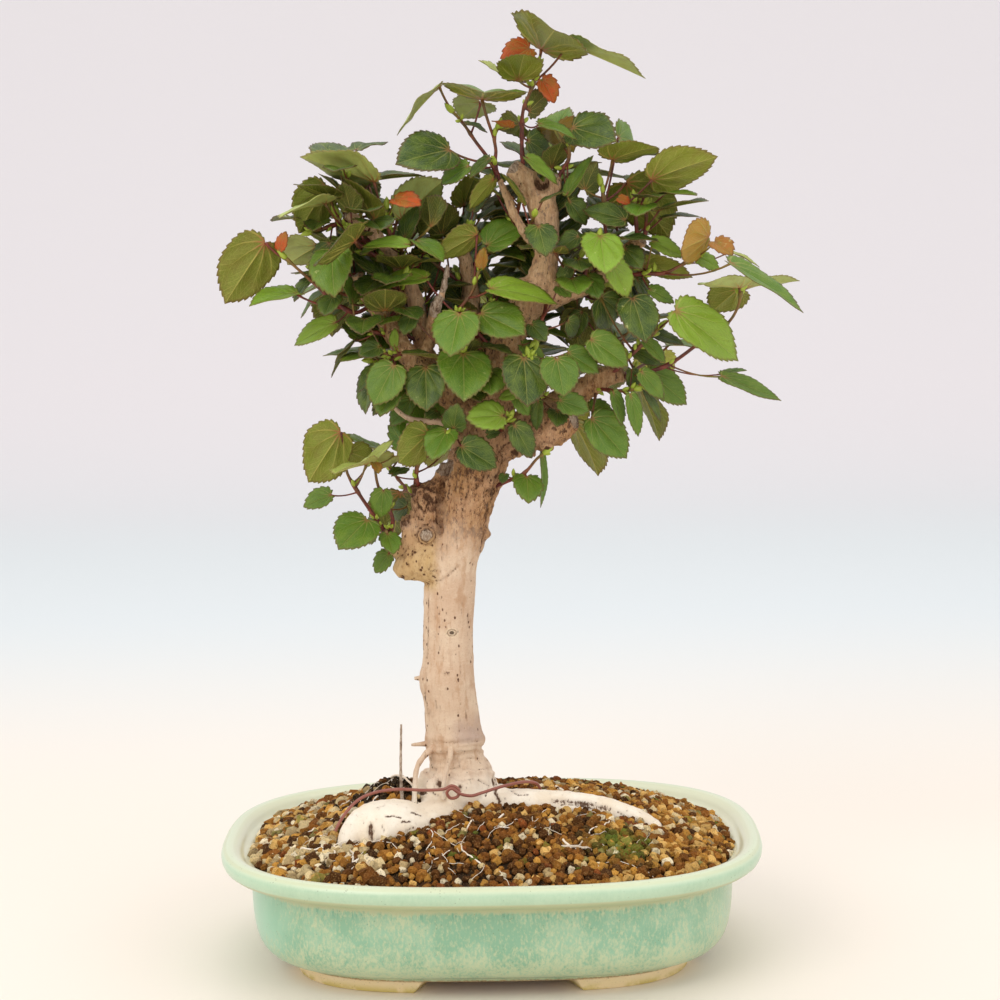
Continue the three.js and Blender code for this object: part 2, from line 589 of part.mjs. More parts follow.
    [0.75, 42, 611, 8, 52, 596, 15, 30, -1, "orange"],
    [0.55, 33, 590, 8, 47, 604, 19, 140, 1, "dark"],
    [0.4, 40, 581, -10, 67, 574, 17, 70, -1, "green"],
    [0.15, 31, 558, -16, 53, 541, 16, 60, -1, "bright"],
    [0.4, 27, 581, 12, 15, 579, 21, 150, 1, "dark"],
    [0.3, 32, 570, 14, 50, 560, 21, 32, 1, "dark"],
  ]],
  ["crotch_shoot", [[44, 464, -3], [42, 452, -14], [37, 441, -18], [36, 434, -19]], [
    [0.9, 33, 444, -22, 43, 433, 14, 22, -1, "dark"],
    [1, 26, 430, -24, 43, 419, 12, 25, -1, "green"],
    [0.5, 52, 470, -20, 60, 464, 11, 30, -1, "green"],
    [0.7, 58, 446, -14, 66, 436, 15, 28, 1, "dark"],
  ]],
];

// The shoots behind the branches: start (across, up, back), direction and length, with leaves by rule.
const BACK_SHOOTS = [
  [-78, 462, 6, -0.5, 0.8, 0.35, 58],
  [-60, 489, 8, -0.25, 0.95, 0.1, 56],
  [-46, 455, 13, -0.45, 0.85, 0.15, 64],
  [-42, 412, 0, -0.35, 0.9, -0.1, 62],
  [-10, 442, 27, -0.05, 0.95, 0.2, 58],
  [43, 486, 2, 0.1, 0.95, 0.2, 70],
  [40, 532, 2, 0.05, 0.97, 0.1, 64],
  [62, 468, 4, 0.3, 0.9, 0.1, 66],
  [86, 406, 9, 0.6, 0.8, 0.05, 66],
  [46, 378, 2, 0.2, 0.95, 0.1, 58],
  [-46, 322, -2, -0.45, 0.85, 0.2, 50],
  [4, 396, 6, -0.1, 0.95, 0.1, 60],
];

// One side of a leaf from the notch to the tip, as shares of length and of width
const LARGE_SIDE = [
  [-0.12, 0.17], [-0.07, 0.36], [0.1, 0.48], [0.33, 0.48], [0.55, 0.37], [0.73, 0.2], [0.88, 0.075],
];
const SMALL_SIDE = [[-0.11, 0.22], [0.08, 0.45], [0.34, 0.48], [0.6, 0.31], [0.84, 0.09]];
const TINY_SIDE = [[-0.05, 0.3], [0.32, 0.5], [0.7, 0.26]];
const LARGE_WIDTH = 30;
const TINY_WIDTH = 15;
const LENGTH_TO_WIDTH = 1.16;
const TOOTH = 0.035;
const RIB_MIDDLE = 0.42;

// Height of a blade above its flat plane: ribs sunk, sides lifted and waved, tip drooping
function bladeHeight(leaf, along, across) {
  const share = along / leaf.length;
  const side = Math.abs(across) / leaf.width;
  const wave = leaf.wave * side * Math.sin(9 * share + leaf.phase + (across > 0 ? 1.3 : 0));
  return leaf.width * (leaf.fold * side + wave) - leaf.droop * leaf.length * share * share;
}

function bladePoint(leaf, along, across, lift) {
  const point = leaf.base.clone();
  point.addScaledVector(leaf.axis, along);
  point.addScaledVector(leaf.side, across);
  return point.addScaledVector(leaf.normal, bladeHeight(leaf, along, across) + lift);
}

// The leaf stalk bows from the stem up to the notch of the blade.
function stalkPoint(leaf, share) {
  const low = leaf.root.clone().lerp(leaf.base, 0.55);
  low.z -= 0.14 * leaf.root.distanceTo(leaf.base);
  const first = leaf.root.clone().lerp(low, share);
  const second = low.lerp(leaf.base, share);
  return first.lerp(second, share);
}

function sideOf(width) {
  if (width < TINY_WIDTH) {
    return TINY_SIDE;
  }
  return width < LARGE_WIDTH ? SMALL_SIDE : LARGE_SIDE;
}

// A toothed blade and its three-sided stalk in one skin; extra thickens both all over.
function leafGeometry(leaf, extra) {
  const large = leaf.width >= LARGE_WIDTH;
  const half = BLADE / 2 + extra;
  const thin = (large ? 1 : 0.75) + extra;
  const positions = [];
  const faces = [];
  const put = (point) => positions.push(point.x, point.y, point.z) / 3 - 1;

  // Stalk, its last ring lying in the notch
  const steps = large ? 2 : 1;
  const rings = [];
  for (let step = 0; step <= steps; step += 1) {
    const share = step / steps;
    const centre = stalkPoint(leaf, share);
    const radius = thin * (0.45 + 0.55 * share);
    const before = stalkPoint(leaf, Math.max(share - 0.02, 0));
    const along = stalkPoint(leaf, Math.min(share + 0.02, 1)).sub(before).normalize();
    const up = leaf.normal.clone().sub(leaf.axis);
    up.addScaledVector(along, -up.dot(along)).normalize();
    const right = new THREE.Vector3().crossVectors(along, up);
    rings.push([
      put(centre.clone().addScaledVector(up, radius)),
      put(centre.clone().addScaledVector(up, -radius / 2).addScaledVector(right, 0.87 * radius)),
      put(centre.clone().addScaledVector(up, -radius / 2).addScaledVector(right, -0.87 * radius)),
    ]);
  }
  for (let step = 0; step < steps; step += 1) {
    for (let corner = 0; corner < 3; corner += 1) {
      const next = (corner + 1) % 3;
      faces.push(rings[step][corner], rings[step][next], rings[step + 1][next]);
      faces.push(rings[step][corner], rings[step + 1][next], rings[step + 1][corner]);
    }
  }
  faces.push(rings[0][0], rings[0][2], rings[0][1]);

  // Blade, alike on both faces, its teeth shared by both
  const [crest, right, left] = rings[steps];
  const ribTop = put(bladePoint(leaf, RIB_MIDDLE * leaf.length, 0, half));
  const ribUnder = put(bladePoint(leaf, RIB_MIDDLE * leaf.length, 0, -half));
  const tip = put(bladePoint(leaf, leaf.length, 0, 0));
  for (const [hand, root] of [[1, right], [-1, left]]) {
    let lastTop = root;
    let lastUnder = root;
    const side = sideOf(leaf.width);
    const join = (top, under) => {
      const upper = [ribTop, lastTop, top];
      const lower = [ribUnder, under, lastUnder];
      faces.push(...(hand > 0 ? upper : upper.reverse()));
      faces.push(...(hand > 0 ? lower : lower.reverse()));
      if (lastTop !== lastUnder || top !== under) {
        const rim = lastTop === lastUnder ? [lastTop, under, top] : [lastTop, lastUnder, top];
        faces.push(...(hand > 0 ? rim : rim.reverse()));
      }
      lastTop = top;
      lastUnder = under;
    };
    side.forEach(([alongShare, acrossShare], index) => {
      const isTooth = index % 2 === 0;
      const along = leaf.length * alongShare;
      const across = hand * leaf.width * (acrossShare + (isTooth ? TOOTH : -TOOTH));
      if (isTooth) {
        const edge = put(bladePoint(leaf, along, across, 0));
        join(edge, edge);
      } else {
        join(put(bladePoint(leaf, along, across, half)), put(bladePoint(leaf, along, across, -half)));
      }
    });
    join(tip, tip);
  }
  faces.push(ribTop, crest, right);
  faces.push(ribTop, left, crest);
  faces.push(ribUnder, right, left);
  return geometryOf(positions, faces);
}

// Keeping clear: all that is placed marks the cells of a fine grid, and a new leaf seeks empty ones.
const CELL = 4;
const marked = new Map();

function cellKey(x, y, z) {
  return `${x},${y},${z}`;
}

function mark(points) {
  for (const point of points) {
    const cell = [point.x, point.y, point.z].map((value) => Math.floor(value / CELL));
    const key = cellKey(...cell);
    marked.set(key, [...(marked.get(key) ?? []), point]);
  }
}

function crowding(points) {
  let count = 0;
  for (const point of points) {
    const [x, y, z] = [point.x, point.y, point.z].map((value) => Math.floor(value / CELL));
    let close = false;
    for (let dx = -1; dx <= 1 && !close; dx += 1) {
      for (let dy = -1; dy <= 1 && !close; dy += 1) {
        for (let dz = -1; dz <= 1 && !close; dz += 1) {
          const others = marked.get(cellKey(x + dx, y + dy, z + dz)) ?? [];
          close = others.some((other) => other.distanceTo(point) < CELL);
        }
      }
    }
    count += close ? 1 : 0;
  }
  return count;
}

function tubePoints(points) {
  const centres = points.map(([x, z, back]) => seen(x, z, back));
  const spots = [];
  for (let index = 0; index + 1 < centres.length; index += 1) {
    const steps = Math.ceil(centres[index].distanceTo(centres[index + 1]) / CELL);
    for (let step = 0; step < steps; step += 1) {
      const centre = centres[index].clone().lerp(centres[index + 1], step / steps);
      const radius = points[index][3] + (points[index + 1][3] - points[index][3]) * step / steps;
      const sides = Math.max(3, Math.ceil(2 * Math.PI * radius / CELL));
      const ring = tubeRings([centres[index], centres[index + 1]], [radius, radius], sides)[0];
      spots.push(...ring.map((point) => point.sub(centres[index]).add(centre)));
    }
  }
  return spots;
}

// Half the width of the blade at a share of its length
function halfWidth(share) {
  const [before, after] = share < 0.33 ? [LARGE_SIDE[1], LARGE_SIDE[3]] : [LARGE_SIDE[3], [1, 0]];
  const between = Math.min(Math.max((share - before[0]) / (after[0] - before[0]), 0), 1);
  return before[1] + (after[1] - before[1]) * between;
}

function bladeSpots(leaf) {
  const spots = [];
  const rows = Math.ceil(leaf.length / CELL);
  for (let row = 1; row <= rows; row += 1) {
    const share = row / rows;
    const reach = leaf.width * halfWidth(share);
    const columns = Math.ceil(2 * reach / CELL);
    for (let column = 0; column <= columns; column += 1) {
      const across = columns === 0 ? 0 : reach * (2 * column / columns - 1);
      spots.push(bladePoint(leaf, share * leaf.length, across, 0));
    }
  }
  return spots;
}

function stalkSpots(leaf) {
  const steps = Math.ceil(leaf.root.distanceTo(leaf.base) / CELL);
  const spots = [];
  for (let step = 1; step <= steps; step += 1) {
    spots.push(stalkPoint(leaf, step / steps));
  }
  return spots;
}

// The place on a stem at a share of its points
function alongStem(stem, share) {
  const place = share * (stem.length - 1);
  const index = Math.min(Math.floor(place), stem.length - 2);
  return stem[index].clone().lerp(stem[index + 1], place - index);
}

// A blade's frame from its base, its tip and the way its upper face is turned
function setBlade(leaf, tip, upper) {
  leaf.axis = tip.clone().sub(leaf.base).normalize();
  leaf.side = new THREE.Vector3().crossVectors(leaf.axis, upper).normalize();
  leaf.normal = new THREE.Vector3().crossVectors(leaf.side, leaf.axis);
}

// A leaf read from the front: shift moves it along the line of sight, roll turns it about its rib.
function readLeaf(stem, row, traits, shift, roll) {
  const [share, baseX, baseZ, back, tipX, tipZ, width, turn, lean] = row;
  const depth = back + shift;
  const flatTip = seen(tipX, tipZ, depth);
  const leaf = { ...traits, width, root: alongStem(stem, share), base: seen(baseX, baseZ, depth) };
  const shown = flatTip.distanceTo(leaf.base);
  leaf.length = Math.max(shown, width * LENGTH_TO_WIDTH);
  const away = lean * Math.sqrt(leaf.length ** 2 - shown ** 2);
  const tip = seen(tipX, tipZ, depth + away);
  const axis = tip.clone().sub(leaf.base).normalize();
  const sight = EYE.clone().sub(leaf.base).normalize();
  const towards = sight.addScaledVector(axis, -sight.dot(axis)).normalize();
  const above = new THREE.Vector3().crossVectors(towards, axis);
  if (above.z < 0) {
    above.negate();
  }
  const angle = (turn + roll) * Math.PI / 180;
  const upper = towards.multiplyScalar(Math.cos(angle)).addScaledVector(above, Math.sin(angle));
  setBlade(leaf, tip, upper);
  return leaf;
}

// A leaf by rule, spiralling round its stem, the smaller the nearer the tip
function ruledLeaf(stem, order, count, traits, shift, roll) {
  const share = (order + 1) / count;
  const root = alongStem(stem, share);
  const along = stem[stem.length - 1].clone().sub(stem[0]).normalize();
  const turn = order * 2.4 + roll * Math.PI / 180;
  const across = new THREE.Vector3(along.z, 0, -along.x).normalize();
  const third = new THREE.Vector3().crossVectors(along, across);
  const out = across.multiplyScalar(Math.cos(turn)).addScaledVector(third, Math.sin(turn));
  out.addScaledVector(along, 0.5).normalize();
  const width = 40 - 14 * share + 4 * traits.phase / Math.PI;
  const base = root.clone().addScaledVector(out, 13 + 12 * (1 - share) + shift);
  base.z += 8;
  const leaf = { ...traits, width, length: width * LENGTH_TO_WIDTH, root, base };
  const tip = base.clone().addScaledVector(out, leaf.length);
  tip.z -= 0.25 * leaf.length;
  setBlade(leaf, tip, new THREE.Vector3(0.2 * out.x, 0.2 * out.y - 0.1, 1));
  return leaf;
}

// How far a leaf may shift along the line of sight (mm) and roll about its rib (degrees) to find room
const SHIFTS = [0, -6, 6, -12, 12, -18, 18, -25, 25, -33, 33];
const ROLLS = [0, 14, -14, 28, -28];
const BACK_SHIFTS = [0, 6, 12];
const BACK_ROLLS = [0, 20, -20, 40, -40, 60, -60, 80, -80];

// The first place that is clear, or the least crowded one
function clearLeaf(placed, rolls, shifts) {
  let best = null;
  for (const roll of rolls) {
    for (const shift of shifts) {
      const leaf = placed(shift, roll);
      leaf.crowding = crowding(bladeSpots(leaf));
      if (best === null || leaf.crowding < best.crowding) {
        best = leaf;
      }
      if (best.crowding === 0) {
        return best;
      }
    }
  }
  return best;
}

function drawTraits(draw, tone) {
  const young = tone === "orange" || tone === "amber";
  return {
    tone,
    droop: 0.04 + 0.14 * draw(),
    fold: 0.1 + (young ? 0.3 : 0.16) * draw(),
    wave: 0.03 + 0.07 * draw(),
    phase: 2 * Math.PI * draw(),
  };
}

// Leaves on each shoot behind the branches, and how crowded one of them may stand
const BACK_TONES = ["green", "dark", "green", "bright"];
const SPARE_CROWDING = 6;

function stemSpots(stem) {
  const spots = [];
  const steps = Math.ceil(stem[0].distanceTo(stem[stem.length - 1]) / 3);
  for (let step = 0; step <= steps; step += 1) {
    spots.push(alongStem(stem, step / steps));
  }
  return spots;
}

// Every shoot with its stem and its leaves, settled one after the other
function layOutShoots() {
  const draw = dice(2024);
  mark(tubePoints(TRUNK));
  for (const points of Object.values(LIMBS)) {
    mark(tubePoints(points));
  }
  const shoots = FRONT_SHOOTS.map(([name, points]) => {
    return { name, stem: points.map(([x, z, back]) => seen(x, z, back)), leaves: [] };
  });
  for (const shoot of shoots) {
    mark(stemSpots(shoot.stem));
  }
  FRONT_SHOOTS.forEach(([, , rows], index) => {
    for (const row of rows) {
      const traits = drawTraits(draw, row[9]);
      const place = (shift, roll) => readLeaf(shoots[index].stem, row, traits, shift, roll);
      const leaf = clearLeaf(place, ROLLS, SHIFTS);
      mark([...bladeSpots(leaf), ...stalkSpots(leaf)]);
      shoots[index].leaves.push(leaf);
    }
  });
  BACK_SHOOTS.forEach(([x, z, back, right, away, up, length], index) => {
    const start = seen(x, z, back);
    const aim = new THREE.Vector3(right, away, up).normalize();
    const stem = [0, 0.33, 0.66, 1].map((share) => {
      const point = start.clone().addScaledVector(aim, length * share);
      point.z += 0.16 * length * share * share;
      return point;
    });
    mark(stemSpots(stem).slice(3));
    const leaves = [];
    BACK_TONES.forEach((tone, order) => {
      const traits = drawTraits(draw, tone);
      const place = (shift, roll) => ruledLeaf(stem, order, BACK_TONES.length, traits, shift, roll);
      const leaf = clearLeaf(place, BACK_ROLLS, BACK_SHIFTS);
      if (leaf.crowding <= SPARE_CROWDING) {
        mark([...bladeSpots(leaf), ...stalkSpots(leaf)]);
        leaves.push(leaf);
      }
    });
    shoots.push({ name: `back_${index + 1}`, stem, leaves });
  });
  return shoots;
}

function stemSolid(stem, extra) {
  const radii = stem.map((point, index) => {
    const share = index / (stem.length - 1);
    return STEM_RADIUS + (STEM_TIP_RADIUS - STEM_RADIUS) * share + extra;
  });
  return solid(loft(tubeRings(stem, radii, 3)));
}

// Each shoot is one body of stem and green leaves; a young leaf of another colour is a body of its own.
function buildShoots(woodRoom) {
  let taken = woodRoom;
  let young = 0;
  for (const { name, stem, leaves } of layOutShoots()) {
    const green = leaves.filter((leaf) => leaf.tone !== "orange" && leaf.tone !== "amber");
    let body = stemSolid(stem, 0);
    let room = stemSolid(stem, GAP);
    for (const leaf of green) {
      body = body.add(solid(leafGeometry(leaf, 0)));
      room = room.add(solid(leafGeometry(leaf, GAP)));
    }
    add(`shoot_${name}`, largest(body.subtract(taken)), COLOURS.green, 0.5);
    taken = taken.add(room);
    for (const leaf of leaves) {
      if (!green.includes(leaf)) {
        young += 1;
        const blade = largest(solid(leafGeometry(leaf, 0)).subtract(taken));
        add(`young_leaf_${young}`, blade, COLOURS[leaf.tone], 0.45);
        taken = taken.add(solid(leafGeometry(leaf, GAP)));
      }
    }
  }
}

const woodRoom = woodSolid(GAP);
buildPot();
buildScreens();
add("wood", woodSolid(0), COLOURS.bark, 0.85);
add("tie_wire", wireSolid(0), COLOURS.wire, 0.4);
buildSoil(woodRoom, wireSolid(GAP));
buildShoots(woodRoom);

// The origin lies under the middle of the whole part, on the ground.
const bounds = new THREE.Box3().setFromObject(part);
const middle = bounds.getCenter(new THREE.Vector3());
part.position.set(-middle.x, -middle.y, -bounds.min.z);

export default part;
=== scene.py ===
"""Sea hibiscus bonsai in a glazed oval pot."""

import math
from functools import partial

import bmesh
import bpy
import numpy as np
from mathutils import Matrix, Vector, noise
from mathutils.bvhtree import BVHTree


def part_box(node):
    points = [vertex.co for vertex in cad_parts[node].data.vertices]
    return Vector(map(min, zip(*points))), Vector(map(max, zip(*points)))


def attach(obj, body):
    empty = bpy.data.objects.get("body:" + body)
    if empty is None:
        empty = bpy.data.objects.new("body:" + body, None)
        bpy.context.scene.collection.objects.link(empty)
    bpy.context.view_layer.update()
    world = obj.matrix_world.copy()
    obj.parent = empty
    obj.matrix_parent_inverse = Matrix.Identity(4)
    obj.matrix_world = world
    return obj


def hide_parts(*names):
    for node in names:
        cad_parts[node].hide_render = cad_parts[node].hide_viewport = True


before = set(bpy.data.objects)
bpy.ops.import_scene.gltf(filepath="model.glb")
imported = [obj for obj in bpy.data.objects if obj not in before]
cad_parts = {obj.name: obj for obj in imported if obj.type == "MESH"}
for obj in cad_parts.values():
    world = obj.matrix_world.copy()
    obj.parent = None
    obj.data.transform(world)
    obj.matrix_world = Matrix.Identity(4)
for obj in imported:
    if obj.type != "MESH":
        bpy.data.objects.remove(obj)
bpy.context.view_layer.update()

# Sizes in millimetres, across, back and up, with the pot's middle at zero, as in the solids
METRE = 1000
RIM_LENGTH = 380
RIM_DEPTH = 300
POT_HEIGHT = 87
OVAL_POWER = 2.75
LOW_POWER = 3.3
WAIST_HEIGHT = 66
WAIST_DROP = 42
FOOT_HEIGHT = 9
FLOOR_HEIGHT = 17.5
DRAIN_RADIUS = 9
DRAIN_OFFSET = 58
SOIL_EDGE = 77
SOIL_TOP = 112
SOIL_INSET = 19.5
STEM_RADIUS = 2.1
STEM_TIP_RADIUS = 1.2
WIRE_RADIUS = 1.1
# Where the camera stands
EYE = np.array([9.3, -1500.0, 497.0])

pot_low, pot_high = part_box("pot")
POT_MIDDLE = np.array([(pot_low.x + pot_high.x) / 2, (pot_low.y + pot_high.y) / 2, 0.0])


# Ways of measuring

DRAW_FACTOR = 16807
DRAW_LIMIT = 2147483647
FIRST_LEAN = np.array([0.3, -1, 0.2])


def metres(point):
    """A point in millimetres as one in the part's frame, in metres."""
    return np.asarray(point, float) / METRE + POT_MIDDLE


def places_of(thing):
    """A piece's corners as rows in millimetres."""
    places = np.zeros(len(thing.data.vertices) * 3)
    thing.data.vertices.foreach_get("co", places)
    return (places.reshape(-1, 3) - POT_MIDDLE) * METRE


def seen(across, up, back):
    """A point read in the trunk's plane, moved back along the line of sight."""
    stretch = 1 - back / EYE[1]
    return np.array([EYE[0] + (across - EYE[0]) * stretch, back, EYE[2] + (up - EYE[2]) * stretch])


def dice(seed):
    """Seeded draws between 0 and 1."""
    state = seed

    def draw():
        nonlocal state
        state = state * DRAW_FACTOR % DRAW_LIMIT
        return state / DRAW_LIMIT

    return draw


def unit(vector):
    return vector / np.linalg.norm(vector)


def distance(first, second):
    return float(np.linalg.norm(first - second))


def limited(value, low=0, high=1):
    return min(max(value, low), high)


def hump(values, middle, spread):
    """1 at the middle value, falling off smoothly on both sides."""
    return np.exp(-((values - middle) / spread) ** 2)


def smooth_path(points, pace):
    """A smooth row of points, with whatever else each holds, through the given ones, about pace apart."""
    points = np.asarray(points, float)
    row = []
    for index in range(len(points) - 1):
        before = points[max(index - 1, 0)]
        start = points[index]
        end = points[index + 1]
        after = points[min(index + 2, len(points) - 1)]
        steps = max(1, math.ceil(distance(start[:3], end[:3]) / pace))
        for step in range(steps):
            t = step / steps
            row.append(0.5 * (
                2 * start + (end - before) * t
                + (2 * before - 5 * start + 4 * end - after) * t ** 2
                + (3 * start - before - 3 * end + after) * t ** 3
            ))
    row.append(points[-1])
    return np.array(row)


def tube_rings(centres, radii, sides):
    """Rings round a path, kept from twisting by carrying one direction along it."""
    rings = []
    lean = FIRST_LEAN
    turns = np.arange(sides) / sides * 2 * math.pi
    for index, centre in enumerate(centres):
        before = centres[max(index - 1, 0)]
        after = centres[min(index + 1, len(centres) - 1)]
        along = unit(after - before)
        lean = unit(lean - along * lean.dot(along))
        cross = np.cross(along, lean)
        spread = np.outer(np.cos(turns), lean) + np.outer(np.sin(turns), cross)
        rings.append(centre + spread * radii[index])
    return rings


def ring_faces(rings, sides, first=0):
    """Four-cornered faces between every ring of corners and the next."""
    faces = []
    for low in range(first, first + (rings - 1) * sides, sides):
        for side in range(sides):
            following = (side + 1) % sides
            faces.append([low + side, low + following, low + sides + following, low + sides + side])
    return faces


class Skin:
    """Points and faces of one piece, gathered bit by bit, with named values at each point."""

    def __init__(self, **usual):
        self.usual = usual
        self.points = []
        self.faces = []
        self.slots = []
        self.spots = []
        self.values = {kind: [] for kind in usual}

    def add(self, points, faces, slot=0, spots=None, **values):
        """Spots are places on a leaf's blade; each value is one for all the points or one for each."""
        start = len(self.points)
        self.points.extend(points)
        self.faces.extend([start + corner for corner in face] for face in faces)
        self.slots.extend([slot] * len(faces))
        self.spots.extend([(0.0, 0.0)] * len(points) if spots is None else spots)
        for kind, usual in self.usual.items():
            value = values.get(kind, usual)
            same = np.ndim(value) == np.ndim(usual)
            self.values[kind].extend([value] * len(points) if same else value)

    def add_tube(self, centres, radii, sides, slot=0, **values):
        """A closed tube round a path; each value is one for the whole tube or one for each ring."""
        rings = tube_rings(centres, radii, sides)
        last = (len(rings) - 1) * sides
        faces = ring_faces(len(rings), sides)
        faces.append(list(range(sides))[::-1])
        faces.append(list(range(last, last + sides)))
        for kind, value in values.items():
            if np.ndim(value) > np.ndim(self.usual[kind]):
                values[kind] = np.repeat(value, sides, axis=0)
        self.add([point for ring in rings for point in ring], faces, slot, **values)

    def piece(self, name, *materials):
        """One object of all that is gathered, its faces' slots counting the given materials."""
        mesh = bpy.data.meshes.new(name)
        mesh.from_pydata([metres(point) for point in self.points], [], self.faces)
        mesh.polygons.foreach_set("material_index", self.slots)
        mesh.polygons.foreach_set("use_smooth", [True] * len(self.faces))
        for kind, gathered in self.values.items():
            add_values(mesh, kind, np.asarray(gathered, np.float32))
        corners = np.zeros(len(mesh.loops), np.int32)
        mesh.loops.foreach_get("vertex_index", corners)
        layer = mesh.uv_layers.new(name="Blade")
        layer.data.foreach_set("uv", np.asarray(self.spots, np.float32)[corners].ravel())
        for material in materials:
            mesh.materials.append(material)
        thing = bpy.data.objects.new(name, mesh)
        bpy.context.scene.collection.objects.link(thing)
        return thing


def add_values(mesh, kind, gathered):
    """A named number or colour at each corner, for the shaders."""
    if gathered.ndim == 2:
        layer = mesh.attributes.new(kind, "FLOAT_COLOR", "POINT")
        filled = np.column_stack([gathered, np.ones(len(gathered), np.float32)])
        layer.data.foreach_set("color", filled.ravel())
    else:
        layer = mesh.attributes.new(kind, "FLOAT", "POINT")
        layer.data.foreach_set("value", gathered)


def settle(thing, slot, *nodes):
    """Ties a finished piece to the tree and hides the solids it stands for."""
    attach(thing, "root")
    if nodes:
        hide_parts(*nodes)
    return thing


def only(thing):
    """Selects one object alone and makes it the active one."""
    bpy.ops.object.select_all(action="DESELECT")
    thing.select_set(True)
    bpy.context.view_layer.objects.active = thing


def modify(thing, kind, **settings):
    """Adds a modifier and applies it."""
    only(thing)
    modifier = thing.modifiers.new(kind.title(), kind)
    for setting, value in settings.items():
        setattr(modifier, setting, value)
    bpy.ops.object.modifier_apply(modifier=modifier.name)


def edit_whole():
    """Starts editing the active object with all of its mesh selected."""
    bpy.ops.object.mode_set(mode="EDIT")
    bpy.ops.mesh.select_all(action="SELECT")


def end_with_faces_out():
    """Turns every face outwards and ends the editing."""
    edit_whole()
    bpy.ops.mesh.normals_make_consistent(inside=False)
    bpy.ops.object.mode_set(mode="OBJECT")


# Shader sums written as expressions

class Value:
    """A shader value; sums written with it add Math nodes."""

    def __init__(self, paint, socket):
        self.paint = paint
        self.socket = socket

    def sum(self, operation, *others):
        return self.paint.node("ShaderNodeMath", {"operation": operation}, dict(enumerate([self, *others])))

    def __add__(self, other):
        return self.sum("ADD", other)

    def __sub__(self, other):
        return self.sum("SUBTRACT", other)

    def __mul__(self, other):
        return self.sum("MULTIPLY", other)

    def __truediv__(self, other):
        return self.sum("DIVIDE", other)

    def __pow__(self, other):
        return self.sum("POWER", other)

    def __rsub__(self, other):
        return self.paint.node("ShaderNodeMath", {"operation": "SUBTRACT"}, {0: other, 1: self})

    __radd__ = __add__
    __rmul__ = __mul__

    def clamped(self):
        return self.paint.node("ShaderNodeClamp", {}, {"Value": self})

    def step(self, low, high):
        """0 below low, 1 above high, smooth between; the other way round where low is above high."""
        if low < high:
            return self.paint.node(
                "ShaderNodeMapRange", {"interpolation_type": "SMOOTHSTEP"},
                {"Value": self, "From Min": low, "From Max": high},
            )
        return 1 - self.step(high, low)

    def band(self, low, full, still, high):
        """1 from full to still, falling off smoothly to 0 at low and at high."""
        return self.step(low, full) * self.step(high, still)


class Paint:
    """One procedural material on a Principled shader."""

    def __init__(self, name, **fixed):
        self.material = bpy.data.materials.new(name)
        self.material.use_nodes = True
        self.tree = self.material.node_tree
        self.shader = self.tree.nodes["Principled BSDF"]
        for socket, value in fixed.items():
            self.shader.inputs[socket.replace("_", " ")].default_value = value

    def node(self, kind, settings, sockets, output=0):
        made = self.tree.nodes.new(kind)
        for setting, value in settings.items():
            setattr(made, setting, value)
        for socket, value in sockets.items():
            if isinstance(value, Value):
                self.tree.links.new(value.socket, made.inputs[socket])
            else:
                made.inputs[socket].default_value = value
        return Value(self, made.outputs[output])

    def place(self, scale=(1, 1, 1)):
        """Object coordinates in millimetres times scale."""
        here = self.node("ShaderNodeTexCoord", {}, {}, "Object")
        return self.node(
            "ShaderNodeVectorMath", {"operation": "MULTIPLY"},
            {0: here, 1: tuple(METRE * factor for factor in scale)},
        )

    def measures(self):
        """Across, back and up in millimetres, with the pot's middle at zero."""
        across, back, up = self.parts(self.place())
        return across - METRE * POT_MIDDLE[0], back - METRE * POT_MIDDLE[1], up

    def parts(self, vector):
        made = self.node("ShaderNodeSeparateXYZ", {}, {0: vector}).socket.node
        return [Value(self, output) for output in made.outputs]

    def attribute(self, name, output="Fac"):
        return self.node("ShaderNodeAttribute", {"attribute_name": name}, {}, output)

    def noise(self, vector, size, detail=3, roughness=0.55):
        """Soft noise whose lumps are about size millimetres across."""
        return self.node(
            "ShaderNodeTexNoise", {},
            {"Vector": vector, "Scale": 1 / size, "Detail": detail, "Roughness": roughness}, "Fac",
        )

    def cells(self, vector, size, feature="F1"):
        """How far each spot is from the nearest middle of a cell, or from the nearest edge."""
        return self.node(
            "ShaderNodeTexVoronoi", {"feature": feature}, {"Vector": vector, "Scale": 1 / size}, "Distance",
        )

    def mix(self, factor, first, second):
        """Two colours mixed, each a value or a colour code."""
        sockets = {0: factor, 6: first, 7: second}
        for socket, colour in sockets.items():
            if isinstance(colour, str):
                sockets[socket] = (*shade(colour), 1)
        return self.node("ShaderNodeMix", {"data_type": "RGBA"}, sockets, 2)

    def coats(self, tint, *rows):
        """A colour with others laid over it in turn, each row saying how much and which."""
        for factor, colour in rows:
            tint = self.mix(factor, tint, colour)
        return tint

    def feed(self, socket, value):
        self.tree.links.new(value.socket, self.shader.inputs[socket])

    def bump(self, height, depth):
        """Relief of height 0 to 1, depth millimetres deep."""
        self.feed("Normal", self.node(
            "ShaderNodeBump", {}, {"Height": height, "Distance": depth / METRE, "Strength": 1.0},
        ))

    def finished(self, tint):
        """The material, with its colour."""
        self.feed("Base Color", tint)
        return self.material


def shade(code):
    """A colour written as on a paint card, as the shader's linear one."""
    parts = [int(code[start:start + 2], 16) / 255 for start in (0, 2, 4)]
    return tuple(part / 12.92 if part < 0.04045 else ((part + 0.055) / 1.055) ** 2.4 for part in parts)


